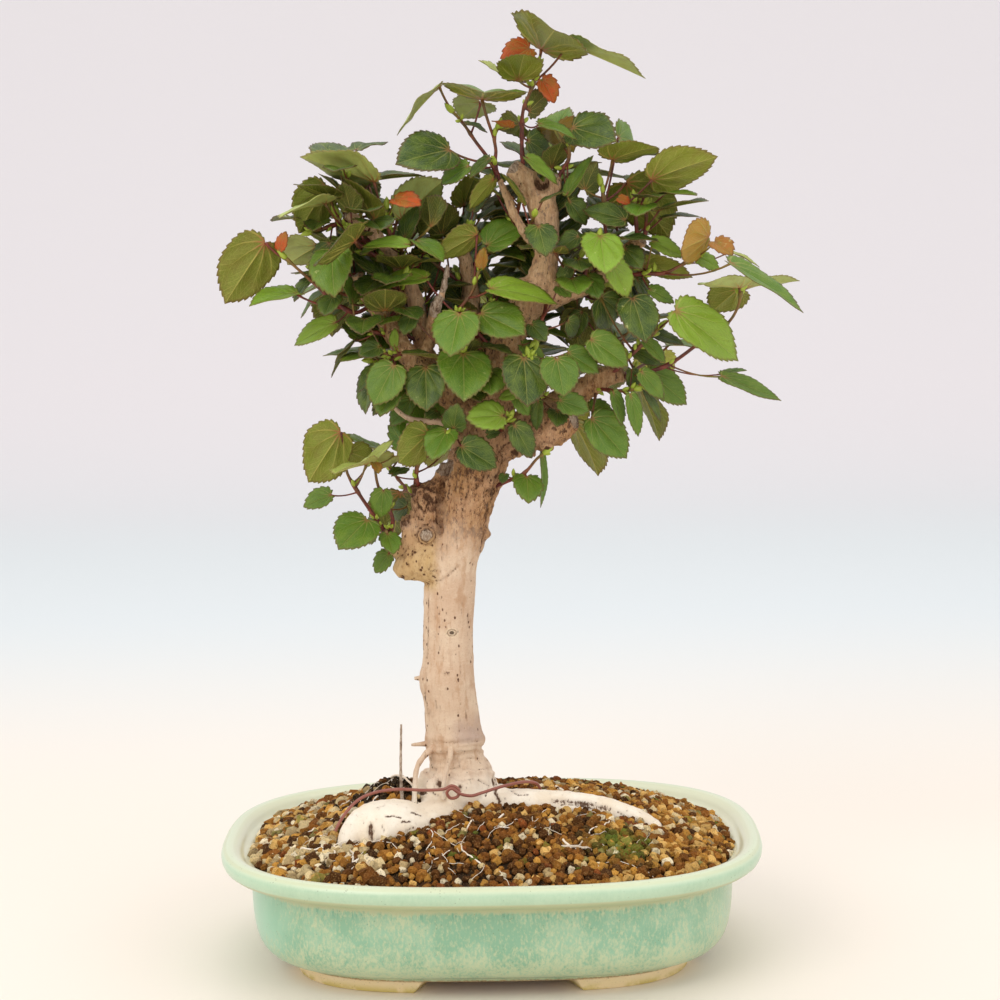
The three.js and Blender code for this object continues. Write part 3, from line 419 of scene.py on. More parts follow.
# Lengths of wood: across, up, back, radius
TRUNK = [
    [-24, 48, 0, 24], [-25, 92, 0, 31], [-24, 112, 0, 30], [-23.5, 121, 0, 28.5], [-22.5, 128, 0, 24.5],
    [-23.5, 135, 0, 20.6], [-24.8, 143, 0, 19.4], [-25.2, 149, 0, 21.4], [-25.8, 156, 0, 20.1],
    [-28.4, 182, 0, 19.1], [-30.2, 195, 0, 19.9], [-29, 208, 0, 18.2], [-28.7, 232, 0, 17.7],
    [-27.4, 260, 0, 18.2], [-25.8, 282, 0, 19.2], [-20, 298, 0, 19.4], [-15, 316, 0, 18],
    [-10, 334, 0, 20], [-5, 352, 0, 21], [0, 372, 0, 19.5], [4, 388, -1, 16],
]

LIMBS = {
    "main_limb": [
        [0, 376, 0, 17], [8, 396, -2, 14.5], [12, 416, -2, 12.5], [18, 440, 0, 11.5], [29, 458, 0, 12],
        [38, 470, 0, 11], [43.5, 486, 0, 8.6], [44, 505, 0, 9], [42.5, 520, 0, 10], [39, 532, 0, 10.5],
    ],
    "left_prong": [[40, 528, 0, 8.5], [33, 540, -1, 8.2], [25, 548, -2, 7], [20, 552, -2, 6.2]],
    "right_prong": [[42, 528, 2, 8], [48.5, 539, 2, 6], [50, 547, 3, 5.2]],
    "right_branch": [
        [28, 456, 0, 9], [46, 463, 0, 8.6], [62, 468, 2, 8], [76, 474, 4, 7.2], [90, 484, 6, 6.4],
        [101, 494, 8, 5.8], [112, 502, 8, 4.8],
    ],
    "right_stub": [
        [-2, 358, 0, 16], [18, 366, -2, 14.5], [38, 373, -4, 16], [52, 376, -5, 14], [63, 378, -6, 8],
    ],
    "low_right_branch": [
        [30, 382, 2, 9], [52, 390, 12, 8.5], [70, 399, 14, 8], [84, 407, 10, 7.2], [97, 407, 6, 4.6],
    ],
    "left_branch": [
        [-6, 380, 0, 12], [-22, 394, -3, 10], [-38, 409, -4, 9], [-52, 423, -3, 7.6], [-62, 437, 0, 6.8],
        [-70, 450, 3, 6.2], [-79, 464, 5, 5.4], [-88, 480, 7, 4.4],
    ],
    "upper_left_limb": [
        [-36, 407, 0, 7], [-43, 432, 8, 6.4], [-46, 455, 12, 5.8], [-52, 475, 10, 5.2],
        [-62, 492, 6, 4.8], [-76, 509, 3, 4.5], [-95, 522, 1, 4.2],
    ],
    "back_limb": [
        [0, 388, 6, 11], [-4, 412, 18, 8], [-10, 440, 26, 6.6], [-9, 470, 28, 5.6], [-15, 500, 24, 4.4],
    ],
    "burl": [
        [-26, 282, 0, 16], [-40, 281, -3, 17.5], [-50, 280, -4, 15], [-58, 278, -4, 11.5], [-64, 280, -4, 6],
    ],
    "stump": [[-44, 284, -4, 14], [-43, 303, -4, 12], [-42, 320, -4, 10], [-44, 334, -4, 9.2]],
    "stump_prong": [[-38, 318, -3, 6], [-33, 336, -1, 5.2], [-28, 348, 0, 3.6]],
    "burl_knob": [[-50, 290, -4, 8], [-56, 304, -5, 5.6], [-56, 310, -5, 3.6]],
    "low_left_branch": [[-50, 283, -4, 6], [-62, 285, -2, 4.2], [-67, 295, 0, 3.6], [-73, 302, 0, 3]],
    "limb_twig": [
        [40, 498, 0, 4], [31, 504, -6, 3.4], [23, 518, -8, 3], [17, 532, -6, 2.8], [12, 544, -4, 2.4],
    ],
    "dead_stub": [
        [-42, 420, 2, 5], [-36, 444, -8, 4.6], [-33, 458, -13, 4], [-28, 469, -14, 2.2],
        [-24, 486, -14, 1.6],
    ],
    "dead_twig": [
        [-8, 370, -6, 4.4], [-30, 377, -10, 3], [-45, 378, -12, 2.6], [-57, 382, -14, 2],
        [-70, 395, -16, 1.2],
    ],
    "dead_twig_fork": [[-41, 377, -11, 2.2], [-48, 374, -14, 1.6], [-55, 376, -15, 1.1]],
    "trunk_nub": [[-44, 196, -2, 4], [-53, 196, -3, 1.2]],
    "ring_nub": [[-42, 149, -4, 3], [-56, 148, -8, 1]],
    "left_root": [
        [-24, 96, -8, 22], [-50, 83, -36, 21], [-70, 85, -45, 22.5], [-88, 83, -50, 19.5],
        [-104, 64, -58, 11],
    ],
    "right_root": [
        [-12, 101, -12, 16], [18, 103, -16, 12], [50, 101.5, -18, 11.5], [80, 97, -20, 10.5],
        [104, 89.5, -24, 9], [114, 85, -27, 7.5], [121, 79, -30, 5],
    ],
    "back_right_root": [[-16, 102, 8, 16], [12, 109, 34, 9], [36, 101, 62, 5]],
    "back_left_root": [[-34, 102, 10, 15], [-62, 108, 38, 9], [-88, 96, 64, 5]],
    "left_air_root": [
        [-38, 148, -10, 3.2], [-47, 140, -16, 2.5], [-53, 129, -20, 2.2], [-55, 104, -24, 2.2],
    ],
    "front_air_root": [
        [-28, 147, -17, 3.2], [-29, 138, -24, 2.2], [-33, 124, -29, 1.9], [-34, 108, -31, 1.9],
    ],
    "dead_sucker": [[-62, 94, -34, 2], [-64, 122, -24, 1.3], [-63, 163, -14, 0.9]],
}

# The tie wire's middle line: across, up, back
WIRE = [
    [-113, 66, -52], [-112, 84, -50], [-104, 99, -46], [-94, 109, -38], [-82, 114, -34],
    [-66, 116, -34], [-48, 115, -34], [-34, 115.5, -36], [-28, 118, -37], [-23, 115, -38],
    [-24, 110, -39], [-29, 109, -40], [-31.5, 113, -41], [-28, 116, -42], [-22, 112, -41],
    [-14, 110.5, -38], [-5, 113, -34], [10, 117.5, -27], [24, 120, -16], [33, 118, -6],
    [37, 107, 0], [38, 95, 2],
]

# Shoots that show from the front: name, stem as across, up and back, and a row for each leaf. A row says
# how far along the stem the leaf leaves it, the blade's foot as across, up and back, its tip as across and
# up, its width, its turn about its rib, whether the tip leans to the back (1) or the front (-1), its tone
FRONT_SHOOTS = [
    ["far_left", [
        [-77, 460, 5], [-88, 454, 0], [-98, 458, -4], [-110, 468, -6], [-122, 479, -8],
        [-136, 492, -8],
    ], [
        [0.97, -150, 503, -10, -180, 462, 42, 152, -1, "green"],
        [0.6, -114, 500, 6, -135, 490, 34, 140, 1, "pale"],
        [0.5, -104, 497, -16, -105, 468, 31, 22, -1, "green"],
        [0.35, -129, 467, -8, -161, 465, 30, 74, -1, "bright"],
        [0.3, -103, 447, -6, -133, 434, 22, 52, -1, "bright"],
        [1, -140, 498, -9, -137, 511, 10, 40, -1, "orange"],
    ]],
    ["upper_left", [[-57, 484, 8], [-70, 490, 4], [-84, 500, 0], [-94, 510, -3], [-100, 521, -4]], [
        [0.9, -107, 540, 4, -129, 510, 33, 152, -1, "green"],
        [0.8, -108, 529, -12, -140, 527, 36, 102, -1, "pale"],
        [0.45, -88, 503, -16, -112, 496, 44, 116, -1, "dark"],
        [1, -101, 522, -4, -105, 534, 7, 50, -1, "bright"],
    ]],
    ["left_crown", [[-53, 478, 10], [-58, 491, 8], [-63, 505, 2], [-66, 516, 0], [-66, 525, 0]], [
        [0.6, -74, 543, -8, -124, 563, 42, 116, -1, "pale"],
        [0.8, -60, 532, -10, -42, 529, 18, 55, -1, "orange"],
        [0.7, -55, 517, 12, -30, 545, 36, 150, 1, "pale"],
        [0.8, -78, 541, 14, -88, 527, 24, 140, 1, "dark"],
        [0.3, -52, 500, -16, -83, 503, 16, 62, -1, "bright"],
        [0.35, -36, 512, 6, -37, 533, 29, 135, 1, "dark"],
    ]],
    ["mid_left", [
        [8, 424, -4], [-6, 440, -8], [-19, 451, -12], [-14, 459, -14], [-8, 467, -14], [-3, 482, -15],
    ], [
        [0.42, -40, 477, -16, -89, 471, 28, 68, -1, "bright"],
        [0.45, -2, 452, -24, 28, 439, 33, 38, -1, "green"],
        [0.7, 5, 469, -22, 52, 464, 30, 62, -1, "bright"],
        [0.85, -4, 506, -16, -33, 493, 27, 132, -1, "green"],
        [0.9, 3, 499, -4, 29, 516, 27, 40, 1, "green"],
        [0.35, -17, 452, -26, -24, 425, 31, 15, -1, "green"],
        [1, -1, 484, -15, 0, 498, 9, 30, -1, "amber"],
    ]],
    ["front_left", [[-24, 398, -2], [-28, 410, -12], [-22, 420, -18], [-17, 425, -22]], [
        [1, -15, 424, -26, -14, 395, 37, 12, -1, "green"],
        [0.4, -41, 415, -22, -41, 386, 28, 10, -1, "dark"],
        [0.8, -50, 452, -14, -56, 439, 14, 30, -1, "dark"],
    ]],
    ["left_hang", [[-50, 422, -2], [-58, 425, -8], [-65, 424, -12], [-72, 427, -13]], [
        [0.6, -63, 417, -18, -78, 390, 27, 22, -1, "green"],
        [0.7, -76, 416, -8, -90, 400, 12, 50, -1, "dark"],
        [0.5, -64, 403, -6, -80, 383, 14, 40, -1, "dark"],
        [0.3, -51, 394, -10, -67, 375, 16, 30, 1, "green"],
        [1, -73, 430, -13, -87, 425, 14, 30, -1, "dark"],
        [0.8, -80, 446, -10, -90, 441, 10, 30, 1, "dark"],
        [0.4, -62, 431, -16, -62, 443, 8, 40, -1, "bright"],
    ]],
    ["low_left_outer", [
        [-72, 301, 0], [-77, 309, -3], [-83, 318, -6], [-90, 329, -8], [-97, 342, -10],
        [-99, 353, -11],
    ], [
        [0.9, -101, 371, -14, -125, 338, 38, 155, -1, "green"],
        [0.95, -96, 357, -10, -79, 352, 19, 150, 1, "green"],
        [0.65, -84, 348, -22, -106, 345, 30, 94, -1, "pale"],
        [0.7, -82, 349, -22, -65, 366, 12, 60, -1, "pale"],
        [0.6, -109, 327, -8, -129, 320, 17, 40, -1, "green"],
        [0.2, -84, 309, -14, -103, 291, 30, 24, -1, "green"],
        [0.1, -78, 304, -6, -88, 296, 17, 30, 1, "green"],
        [1, -101, 357, -14, -104, 363, 10, 40, -1, "orange"],
    ]],
    ["low_left_inner", [
        [-69, 298, 0], [-66, 309, -6], [-71, 322, -9], [-76, 334, -10], [-78, 348, -11],
    ], [
        [0.5, -72, 330, -16, -75, 310, 16, 20, -1, "green"],
        [0.4, -56, 318, -8, -68, 312, 15, 30, 1, "dark"],
        [1, -64, 354, -6, -78, 347, 17, 130, 1, "pale"],
        [0.1, -70, 299, -12, -66, 286, 15, 25, -1, "green"],
        [0.15, -69, 285, -2, -80, 272, 14, 30, -1, "green"],
        [1, -78, 349, -11, -75, 343, 8, 40, -1, "amber"],
    ]],
    ["stump_shoot", [[-46, 328, -4], [-49, 340, -9], [-46, 351, -12]], [
        [1, -40, 369, -16, -62, 350, 29, 150, -1, "green"],
        [0.9, -27, 371, -12, -38, 352, 23, 32, -1, "green"],
        [0.6, -29, 356, 2, -41, 347, 19, 130, 1, "pale"],
        [0.4, -66, 341, -8, -54, 346, 12, 60, 1, "dark"],
    ]],
    ["trunk_left", [[-8, 368, -4], [-18, 372, -14], [-23, 371, -21]], [
        [1, -22, 373, -24, -20, 389, 17, 15, -1, "dark"],
        [0.9, -17, 360, -28, 8, 345, 23, 18, -1, "dark"],
        [0.6, -34, 385, -16, -41, 381, 10, 20, -1, "dark"],
    ]],
    ["trunk_front", [[8, 366, -6], [12, 373, -20], [16, 379, -25]], [
        [1, 12, 381, -28, -13, 381, 22, 28, -1, "bright"],
        [0.8, 20, 374, -24, 33, 351, 18, 25, -1, "dark"],
        [0.5, 1, 368, -24, 10, 370, 8, 25, -1, "dark"],
    ]],
    ["trunk_right", [[0, 329, -4], [17, 336, -14], [27, 341, -16], [35, 350, -16], [40, 354, -16]], [
        [0.5, 28, 338, -18, 30, 323, 21, 20, -1, "green"],
        [1, 39, 353, -16, 43, 316, 9, 58, -1, "green"],
        [0.3, 13, 340, -16, 11, 334, 7, 20, -1, "dark"],
    ]],
    ["stub_shoot", [[42, 380, -6], [38, 394, -20], [34, 408, -26], [31, 421, -28]], [
        [0.95, 27, 421, -32, 30, 389, 33, 20, -1, "dark"],
        [0.9, 50, 420, -30, 55, 395, 26, 15, -1, "green"],
        [0.5, 37, 391, -26, 35, 370, 11, 35, -1, "dark"],
        [0.45, 22, 394, -24, 31, 381, 13, 30, -1, "green"],
        [0.3, 50, 383, -24, 50, 374, 14, 18, -1, "dark"],
        [0.6, 22, 396, -30, 9, 394, 9, 35, -1, "bright"],
        [0.4, 52, 391, -26, 73, 384, 18, 30, -1, "green"],
        [1, 58, 424, -28, 80, 410, 19, 35, -1, "green"],
    ]],
    ["right_low", [[74, 400, 14], [84, 398, 2], [94, 397, -4], [104, 398, -7]], [
        [0.1, 74, 378, -2, 99, 350, 29, 24, -1, "green"],
        [0.15, 74, 383, 8, 91, 384, 19, 30, 1, "green"],
        [0.4, 89, 396, -6, 97, 373, 11, 40, -1, "green"],
        [0.7, 101, 394, -8, 109, 365, 12, 30, -1, "green"],
        [1, 111, 398, -8, 124, 376, 9, 50, -1, "dark"],
        [0.9, 102, 412, 4, 104, 396, 11, 30, 1, "dark"],
    ]],
    ["right_long", [
        [92, 407, 7], [106, 408, 4], [128, 415, 0], [150, 430, -2], [168, 442, -4], [176, 454, -6],
        [178, 465, -6],
    ], [
        [0.33, 165, 406, -4, 207, 390, 15, 48, -1, "green"],
        [0.3, 166, 408, 6, 182, 411, 9, 70, 1, "green"],
        [0.98, 177, 467, -10, 150, 473, 34, 110, -1, "pale"],
        [1, 182, 467, 4, 218, 475, 23, 106, 1, "pale"],
        [0.95, 176, 466, 8, 158, 452, 27, 150, 1, "green"],
        [0.15, 113, 410, 14, 142, 388, 25, 30, 1, "green"],
        [0.1, 109, 410, -4, 125, 391, 15, 32, -1, "green"],
    ]],
    ["right_fork", [[80, 404, 10], [92, 412, 2], [104, 424, -2], [113, 432, -4], [121, 440, -4]], [
        [1, 133, 452, -6, 180, 420, 34, 32, -1, "bright"],
        [0.7, 103, 461, -12, 113, 433, 29, 25, -1, "dark"],
        [0.4, 74, 433, -20, 101, 415, 23, 26, -1, "green"],
        [0.85, 115, 437, 8, 139, 430, 12, 50, 1, "dark"],
        [0.7, 111, 432, -12, 127, 417, 11, 35, -1, "green"],
        [0.6, 103, 425, 6, 124, 416, 13, 35, 1, "dark"],
        [0.5, 81, 462, -2, 90, 438, 26, 28, 1, "dark"],
        [0.35, 68, 452, 6, 62, 434, 16, 30, 1, "dark"],
    ]],
    ["right_mid", [
        [92, 486, 6], [100, 478, 5], [112, 478, 3], [125, 478, 1], [136, 483, 0], [147, 489, -2],
    ], [
        [0.6, 171, 484, -6, 224, 453, 25, 70, -1, "green"],
        [1, 156, 502, 4, 133, 494, 31, 148, -1, "amber"],
        [0.99, 160, 499, -14, 172, 491, 15, 40, -1, "amber"],
        [0.9, 148, 489, -8, 164, 481, 13, 40, -1, "bright"],
        [0.5, 109, 483, 12, 145, 479, 23, 130, 1, "green"],
        [0.85, 170, 492, 6, 192, 484, 10, 80, -1, "pale"],
        [0.35, 115, 467, -4, 133, 459, 12, 40, -1, "green"],
        [0.4, 117, 500, -2, 140, 490, 14, 40, -1, "bright"],
    ]],
    ["right_inner", [[66, 469, 2], [72, 482, -8], [78, 494, -14], [80, 502, -16]], [
        [1, 81, 504, -20, 85, 479, 29, 20, -1, "bright"],
        [0.5, 89, 485, -22, 101, 462, 19, 28, -1, "bright"],
        [0.4, 72, 477, -16, 80, 462, 17, 25, -1, "green"],
        [0.6, 66, 504, -12, 50, 495, 15, 35, -1, "dark"],
        [0.5, 98, 495, -8, 110, 482, 17, 30, -1, "dark"],
        [0.3, 60, 484, -14, 52, 470, 12, 30, -1, "dark"],
    ]],
    ["right_upper", [[88, 482, 6], [86, 500, 2], [84, 515, 0], [84, 528, -2], [82, 539, -2]], [
        [0.85, 90, 556, -4, 119, 568, 37, 120, -1, "green"],
        [0.7, 94, 571, 12, 110, 569, 27, 30, 1, "green"],
        [0.55, 117, 542, -6, 161, 560, 36, 140, -1, "green"],
        [0.75, 99, 540, 10, 130, 506, 45, 152, 1, "green"],
        [0.5, 98, 515, -14, 70, 525, 18, 36, -1, "dark"],
        [0.7, 94, 530, -6, 102, 526, 8, 40, -1, "orange"],
        [0.8, 71, 536, -4, 77, 554, 21, 148, 1, "dark"],
    ]],
    ["top_right", [[50, 540, 3], [55, 549, 0], [60, 557, -2], [60, 566, -3]], [
        [1, 63, 578, -8, 92, 570, 31, 34, -1, "dark"],
        [0.6, 59, 533, -16, 76, 560, 15, 58, -1, "green"],
        [0.4, 60, 528, -10, 72, 512, 17, 40, -1, "dark"],
        [0.8, 50, 578, 8, 62, 567, 31, 150, 1, "amber"],
    ]],
    ["top_left", [[12, 543, -3], [9, 553, -4], [10, 563, -5], [9, 572, -6], [11, 578, -6]], [
        [0.75, 1, 598, -8, 4, 613, 56, 176, -1, "green"],
        [0.3, -22, 564, -10, -57, 559, 37, 42, -1, "dark"],
        [0.25, -9, 553, -16, -29, 542, 18, 50, -1, "green"],
        [0.2, 5, 558, -12, -10, 547, 13, 60, -1, "dark"],
        [0.1, 8, 544, -12, -10, 525, 17, 130, -1, "green"],
        [1, 19, 579, -8, 10, 586, 14, 120, -1, "orange"],
    ]],
    ["top_outer", [[14, 538, -5], [6, 556, 2], [-4, 570, 4], [-12, 582, 3], [-19, 590, 2]], [
        [1, -28, 607, 0, -60, 577, 38, 94, -1, "pale"],
        [0.6, 0, 596, 12, -13, 588, 29, 140, 1, "pale"],
        [0.8, -10, 582, -4, 5, 578, 11, 75, -1, "dark"],
    ]],
    ["top_centre", [
        [29, 545, 0], [28, 562, 1], [28, 576, 0], [29, 590, 0], [34, 603, 0], [37, 611, 0],
        [39, 619, 0],
    ], [
        [0.72, 26, 611, -10, 30, 632, 30, 170, -1, "green"],
        [1, 42, 631, 6, 55, 651, 57, 176, -1, "green"],
        [0.8, 60, 634, -6, 114, 613, 42, 98, -1, "pale"],
        [1, 34, 632, -14, 14, 622, 20, 24, -1, "orange"],
        [0.8, 15, 614, 8, 0, 626, 13, 76, -1, "pale"],
        [0.75, 42, 611, 8, 52, 596, 15, 30, -1, "orange"],
        [0.55, 33, 590, 8, 47, 604, 19, 140, 1, "dark"],
        [0.4, 40, 581, -10, 67, 574, 17, 70, -1, "green"],
        [0.15, 31, 558, -16, 53, 541, 16, 60, -1, "bright"],
        [0.4, 27, 581, 12, 15, 579, 21, 150, 1, "dark"],
        [0.3, 32, 570, 14, 50, 560, 21, 32, 1, "dark"],
    ]],
    ["crotch_shoot", [[44, 464, -3], [42, 452, -14], [37, 441, -18], [36, 434, -19]], [
        [0.9, 33, 444, -22, 43, 433, 14, 22, -1, "dark"],
        [1, 26, 430, -24, 43, 419, 12, 25, -1, "green"],
        [0.5, 52, 470, -20, 60, 464, 11, 30, -1, "green"],
        [0.7, 58, 446, -14, 66, 436, 15, 28, 1, "dark"],
    ]],
]

# Shoots behind the limbs: start as across, up and back, heading to the right, away and up, length
BACK_SHOOTS = [
    [-78, 462, 6, -0.5, 0.8, 0.35, 58],
    [-60, 489, 8, -0.25, 0.95, 0.1, 56],
    [-46, 455, 13, -0.45, 0.85, 0.15, 64],
    [-42, 412, 0, -0.35, 0.9, -0.1, 62],
    [-10, 442, 27, -0.05, 0.95, 0.2, 58],
    [43, 486, 2, 0.1, 0.95, 0.2, 70],
    [40, 532, 2, 0.05, 0.97, 0.1, 64],
    [62, 468, 4, 0.3, 0.9, 0.1, 66],
    [86, 406, 9, 0.6, 0.8, 0.05, 66],
    [46, 378, 2, 0.2, 0.95, 0.1, 58],
    [-46, 322, -2, -0.45, 0.85, 0.2, 50],
    [4, 396, 6, -0.1, 0.95, 0.1, 60],
]

# Leaves, by the same rules as in the solids; half a blade's width, at shares of its length
WIDEST_SHARES = ((-0.07, 0.36), (0.33, 0.48), (1, 0))
LENGTH_TO_WIDTH = 1.16
YOUNG_TONES = ("orange", "amber")
# To find room, a leaf read from the front moves along the line of sight and turns about its rib, in degrees
SHIFTS = [0, -6, 6, -12, 12, -18, 18, -25, 25, -33, 33]
ROLLS = [0, 14, -14, 28, -28]
# A leaf by rule moves out from its stem and turns about it
BACK_SHIFTS = [0, 6, 12]
BACK_ROLLS = [0, 20, -20, 40, -40, 60, -60, 80, -80]
BACK_TONES = ["green", "dark", "green", "bright"]
# A leaf behind the limbs with more crowded spots than this is left out
SPARE_CROWDING = 6
# How far apart the spots are that stand for leaves, stalks and wood, and for stems
CELL = 4
STEM_CELL = 3
SHOOT_SEED = 2024
TWIG_SEED = 31

# The least and what a draw adds to it: droop, fold and wave of a blade, as shares of its size
DROOP = (0.04, 0.14)
FOLD = (0.1, 0.16)
YOUNG_FOLD = (0.1, 0.3)
WAVE = (0.03, 0.07)
WAVES_ALONG = 9
OTHER_SIDE_PHASE = 1.3
STALK_BOW_AT = 0.55
STALK_BOW = 0.14

# Shoots by rule: leaves spiral round a rising stem, narrower and on shorter stalks towards its tip
SPIRAL_TURN = 2.4
OUTWARD_PITCH = 0.5
RULED_WIDTH = 40
NARROWING = 14
WIDTH_SPREAD = 4
RULED_STALK = 13
STALK_EXTRA = 12
STALK_RISE = 8
TIP_DROP = 0.25
STEM_SHARES = (0, 0.33, 0.66, 1)
STEM_LIFT = 0.16

# Limbs with short leafy twigs inside the crown: how far their twigs lean back, and how many places have one
INNER_LIMBS = {
    "left_branch": (0.1, 1), "upper_left_limb": (0.2, 0.9), "back_limb": (-0.1, 1), "main_limb": (1.6, 0.6),
    "right_branch": (0.5, 0.6), "low_right_branch": (0.4, 0.6), "limb_twig": (0.8, 0.6),
}
INNER_PACE = 11
INNER_LEAVES = 4
INNER_SHIFTS = [0, 5]
# A leaf inside the crown with more crowded spots than this is left out
INNER_CROWDING = 3
# The least and what a draw adds to it
INNER_LENGTH = (14, 22)
INNER_SCALE = (0.5, 0.35)
INNER_AHEAD = 0.4
INNER_UP = 0.2
INNER_LIFT = 3
# How often an inner leaf takes the dark tone, as painted shade inside the crown
DARK_SHADE_OFTEN = 0.7


class Leaf:
    """One leaf: where its stalk leaves the stem, the frame of its blade, and how the blade bends."""

    def __init__(self, root, base, width, length, traits):
        self.root = root
        self.base = base
        self.width = width
        self.length = length
        self.tone, self.droop, self.fold, self.wave, self.phase = traits

    def turn_to(self, tip, upper):
        self.axis = unit(tip - self.base)
        self.side = unit(np.cross(self.axis, upper))
        self.normal = np.cross(self.side, self.axis)

    def height(self, along, across):
        """How far the blade stands above its flat plane: sides lifted and waved, tip drooping."""
        share = along / self.length
        side = np.abs(across) / self.width
        phase = self.phase + np.where(across > 0, OTHER_SIDE_PHASE, 0)
        wave = self.wave * side * np.sin(WAVES_ALONG * share + phase)
        return self.width * (self.fold * side + wave) - self.droop * self.length * share * share

    def spots(self, along, across, lift=0.0):
        """Points of the blade at rows of distances along and across."""
        along, across = np.asarray(along, float), np.asarray(across, float)
        height = self.height(along, across) + lift
        return (self.base + np.outer(along, self.axis) + np.outer(across, self.side)
                + np.outer(height, self.normal))

    def stalk(self, share):
        """A point of the bowed stalk between the stem and the notch of the blade."""
        low = self.root + (self.base - self.root) * STALK_BOW_AT
        low[2] -= STALK_BOW * distance(self.root, self.base)
        first = self.root + (low - self.root) * share
        second = low + (self.base - low) * share
        return first + (second - first) * share


def half_width(share):
    """Half the width of the blade at a share of its length."""
    pair = WIDEST_SHARES[:2] if share < WIDEST_SHARES[1][0] else WIDEST_SHARES[1:]
    (before, wide), (after, narrow) = pair
    between = limited((share - before) / (after - before))
    return wide + (narrow - wide) * between


def blade_spots(leaf):
    """Spots all over the blade, about a cell apart."""
    rows = math.ceil(leaf.length / CELL)
    along, across = [], []
    for row in range(1, rows + 1):
        share = row / rows
        reach = leaf.width * half_width(share)
        columns = math.ceil(2 * reach / CELL)
        for column in range(columns + 1):
            along.append(share * leaf.length)
            across.append(0 if columns == 0 else reach * (2 * column / columns - 1))
    return leaf.spots(along, across)


def stalk_spots(leaf):
    steps = math.ceil(distance(leaf.root, leaf.base) / CELL)
    return [leaf.stalk(step / steps) for step in range(1, steps + 1)]


def along_stem(stem, share):
    """The point at a share of the way along a stem."""
    place = share * (len(stem) - 1)
    index = min(int(place), len(stem) - 2)
    return stem[index] + (stem[index + 1] - stem[index]) * (place - index)


def stem_spots(stem):
    steps = math.ceil(distance(stem[0], stem[-1]) / STEM_CELL)
    return [along_stem(stem, step / steps) for step in range(steps + 1)]


def wood_spots(points):
    """Points all over a length of wood."""
    centres = [seen(x, z, back) for x, z, back, _ in points]
    spots = []
    for index in range(len(centres) - 1):
        start, end = centres[index], centres[index + 1]
        steps = math.ceil(distance(start, end) / CELL)
        for step in range(steps):
            centre = start + (end - start) * (step / steps)
            radius = points[index][3] + (points[index + 1][3] - points[index][3]) * step / steps
            sides = max(3, math.ceil(2 * math.pi * radius / CELL))
            spots.extend(tube_rings([start, end], [radius, radius], sides)[0] - start + centre)
    return spots


class Room:
    """What is placed so far, so that a new leaf can seek a clear place."""

    def __init__(self):
        self.near = {}

    def mark(self, spots):
        """Keeps each spot under its own cell and the cells round it."""
        for spot in spots:
            spot = [float(value) for value in spot]
            x, y, z = [math.floor(value / CELL) for value in spot]
            for dx in (-1, 0, 1):
                for dy in (-1, 0, 1):
                    for dz in (-1, 0, 1):
                        self.near.setdefault((x + dx, y + dy, z + dz), []).append(spot)

    def crowding(self, spots):
        """How many of the spots have something marked less than a cell away."""
        count = 0
        for x, y, z in spots.tolist():
            cell = (math.floor(x / CELL), math.floor(y / CELL), math.floor(z / CELL))
            for other in self.near.get(cell, ()):
                if (other[0] - x) ** 2 + (other[1] - y) ** 2 + (other[2] - z) ** 2 < CELL * CELL:
                    count += 1
                    break
        return count

    def clear_leaf(self, placed, rolls, shifts):
        """The first place that is clear, or the least crowded one."""
        best, fewest = None, None
        for roll in rolls:
            for shift in shifts:
                leaf = placed(shift, roll)
                count = self.crowding(blade_spots(leaf))
                if fewest is None or count < fewest:
                    best, fewest = leaf, count
                if fewest == 0:
                    return best, fewest
        return best, fewest


def read_leaf(stem, row, traits, shift, roll):
    """A leaf read from the front: shift moves it along the line of sight, roll turns it about its rib."""
    share, base_x, base_z, back, tip_x, tip_z, width, turn, lean, _ = row
    depth = back + shift
    base = seen(base_x, base_z, depth)
    shown = distance(seen(tip_x, tip_z, depth), base)
    length = max(shown, width * LENGTH_TO_WIDTH)
    leaf = Leaf(along_stem(stem, share), base, width, length, traits)
    tip = seen(tip_x, tip_z, depth + lean * math.sqrt(length ** 2 - shown ** 2))
    axis = unit(tip - base)
    sight = unit(EYE - base)
    towards = unit(sight - axis * sight.dot(axis))
    above = np.cross(towards, axis)
    if above[2] < 0:
        above = -above
    angle = math.radians(turn + roll)
    leaf.turn_to(tip, towards * math.cos(angle) + above * math.sin(angle))
    return leaf


def round_stem(along, turn):
    """The direction square to a stem at a turn about it."""
    across = unit(np.array([along[2], 0, -along[0]]))
    return across * math.cos(turn) + np.cross(along, across) * math.sin(turn)


def ruled_leaf(stem, order, count, traits, shift, roll, scale=1):
    """A leaf by rule, spiralling round its stem, the smaller the nearer the tip."""
    share = (order + 1) / count
    root = along_stem(stem, share)
    along = unit(stem[-1] - stem[0])
    out = unit(round_stem(along, order * SPIRAL_TURN + math.radians(roll)) + along * OUTWARD_PITCH)
    width = scale * (RULED_WIDTH - NARROWING * share + WIDTH_SPREAD * traits[4] / math.pi)
    base = root + out * (scale * (RULED_STALK + STALK_EXTRA * (1 - share)) + shift)
    base[2] += STALK_RISE * scale
    leaf = Leaf(root, base, width, width * LENGTH_TO_WIDTH, traits)
    tip = base + out * leaf.length
    tip[2] -= TIP_DROP * leaf.length
    leaf.turn_to(tip, np.array([0.2 * out[0], 0.2 * out[1] - 0.1, 1]))
    return leaf


def draw_traits(draw, tone):
    """A leaf's tone, how much it droops, folds and waves, and where its waves start."""
    fold = YOUNG_FOLD if tone in YOUNG_TONES else FOLD
    bends = [least + more * draw() for least, more in (DROOP, fold, WAVE)]
    return tone, *bends, 2 * math.pi * draw()


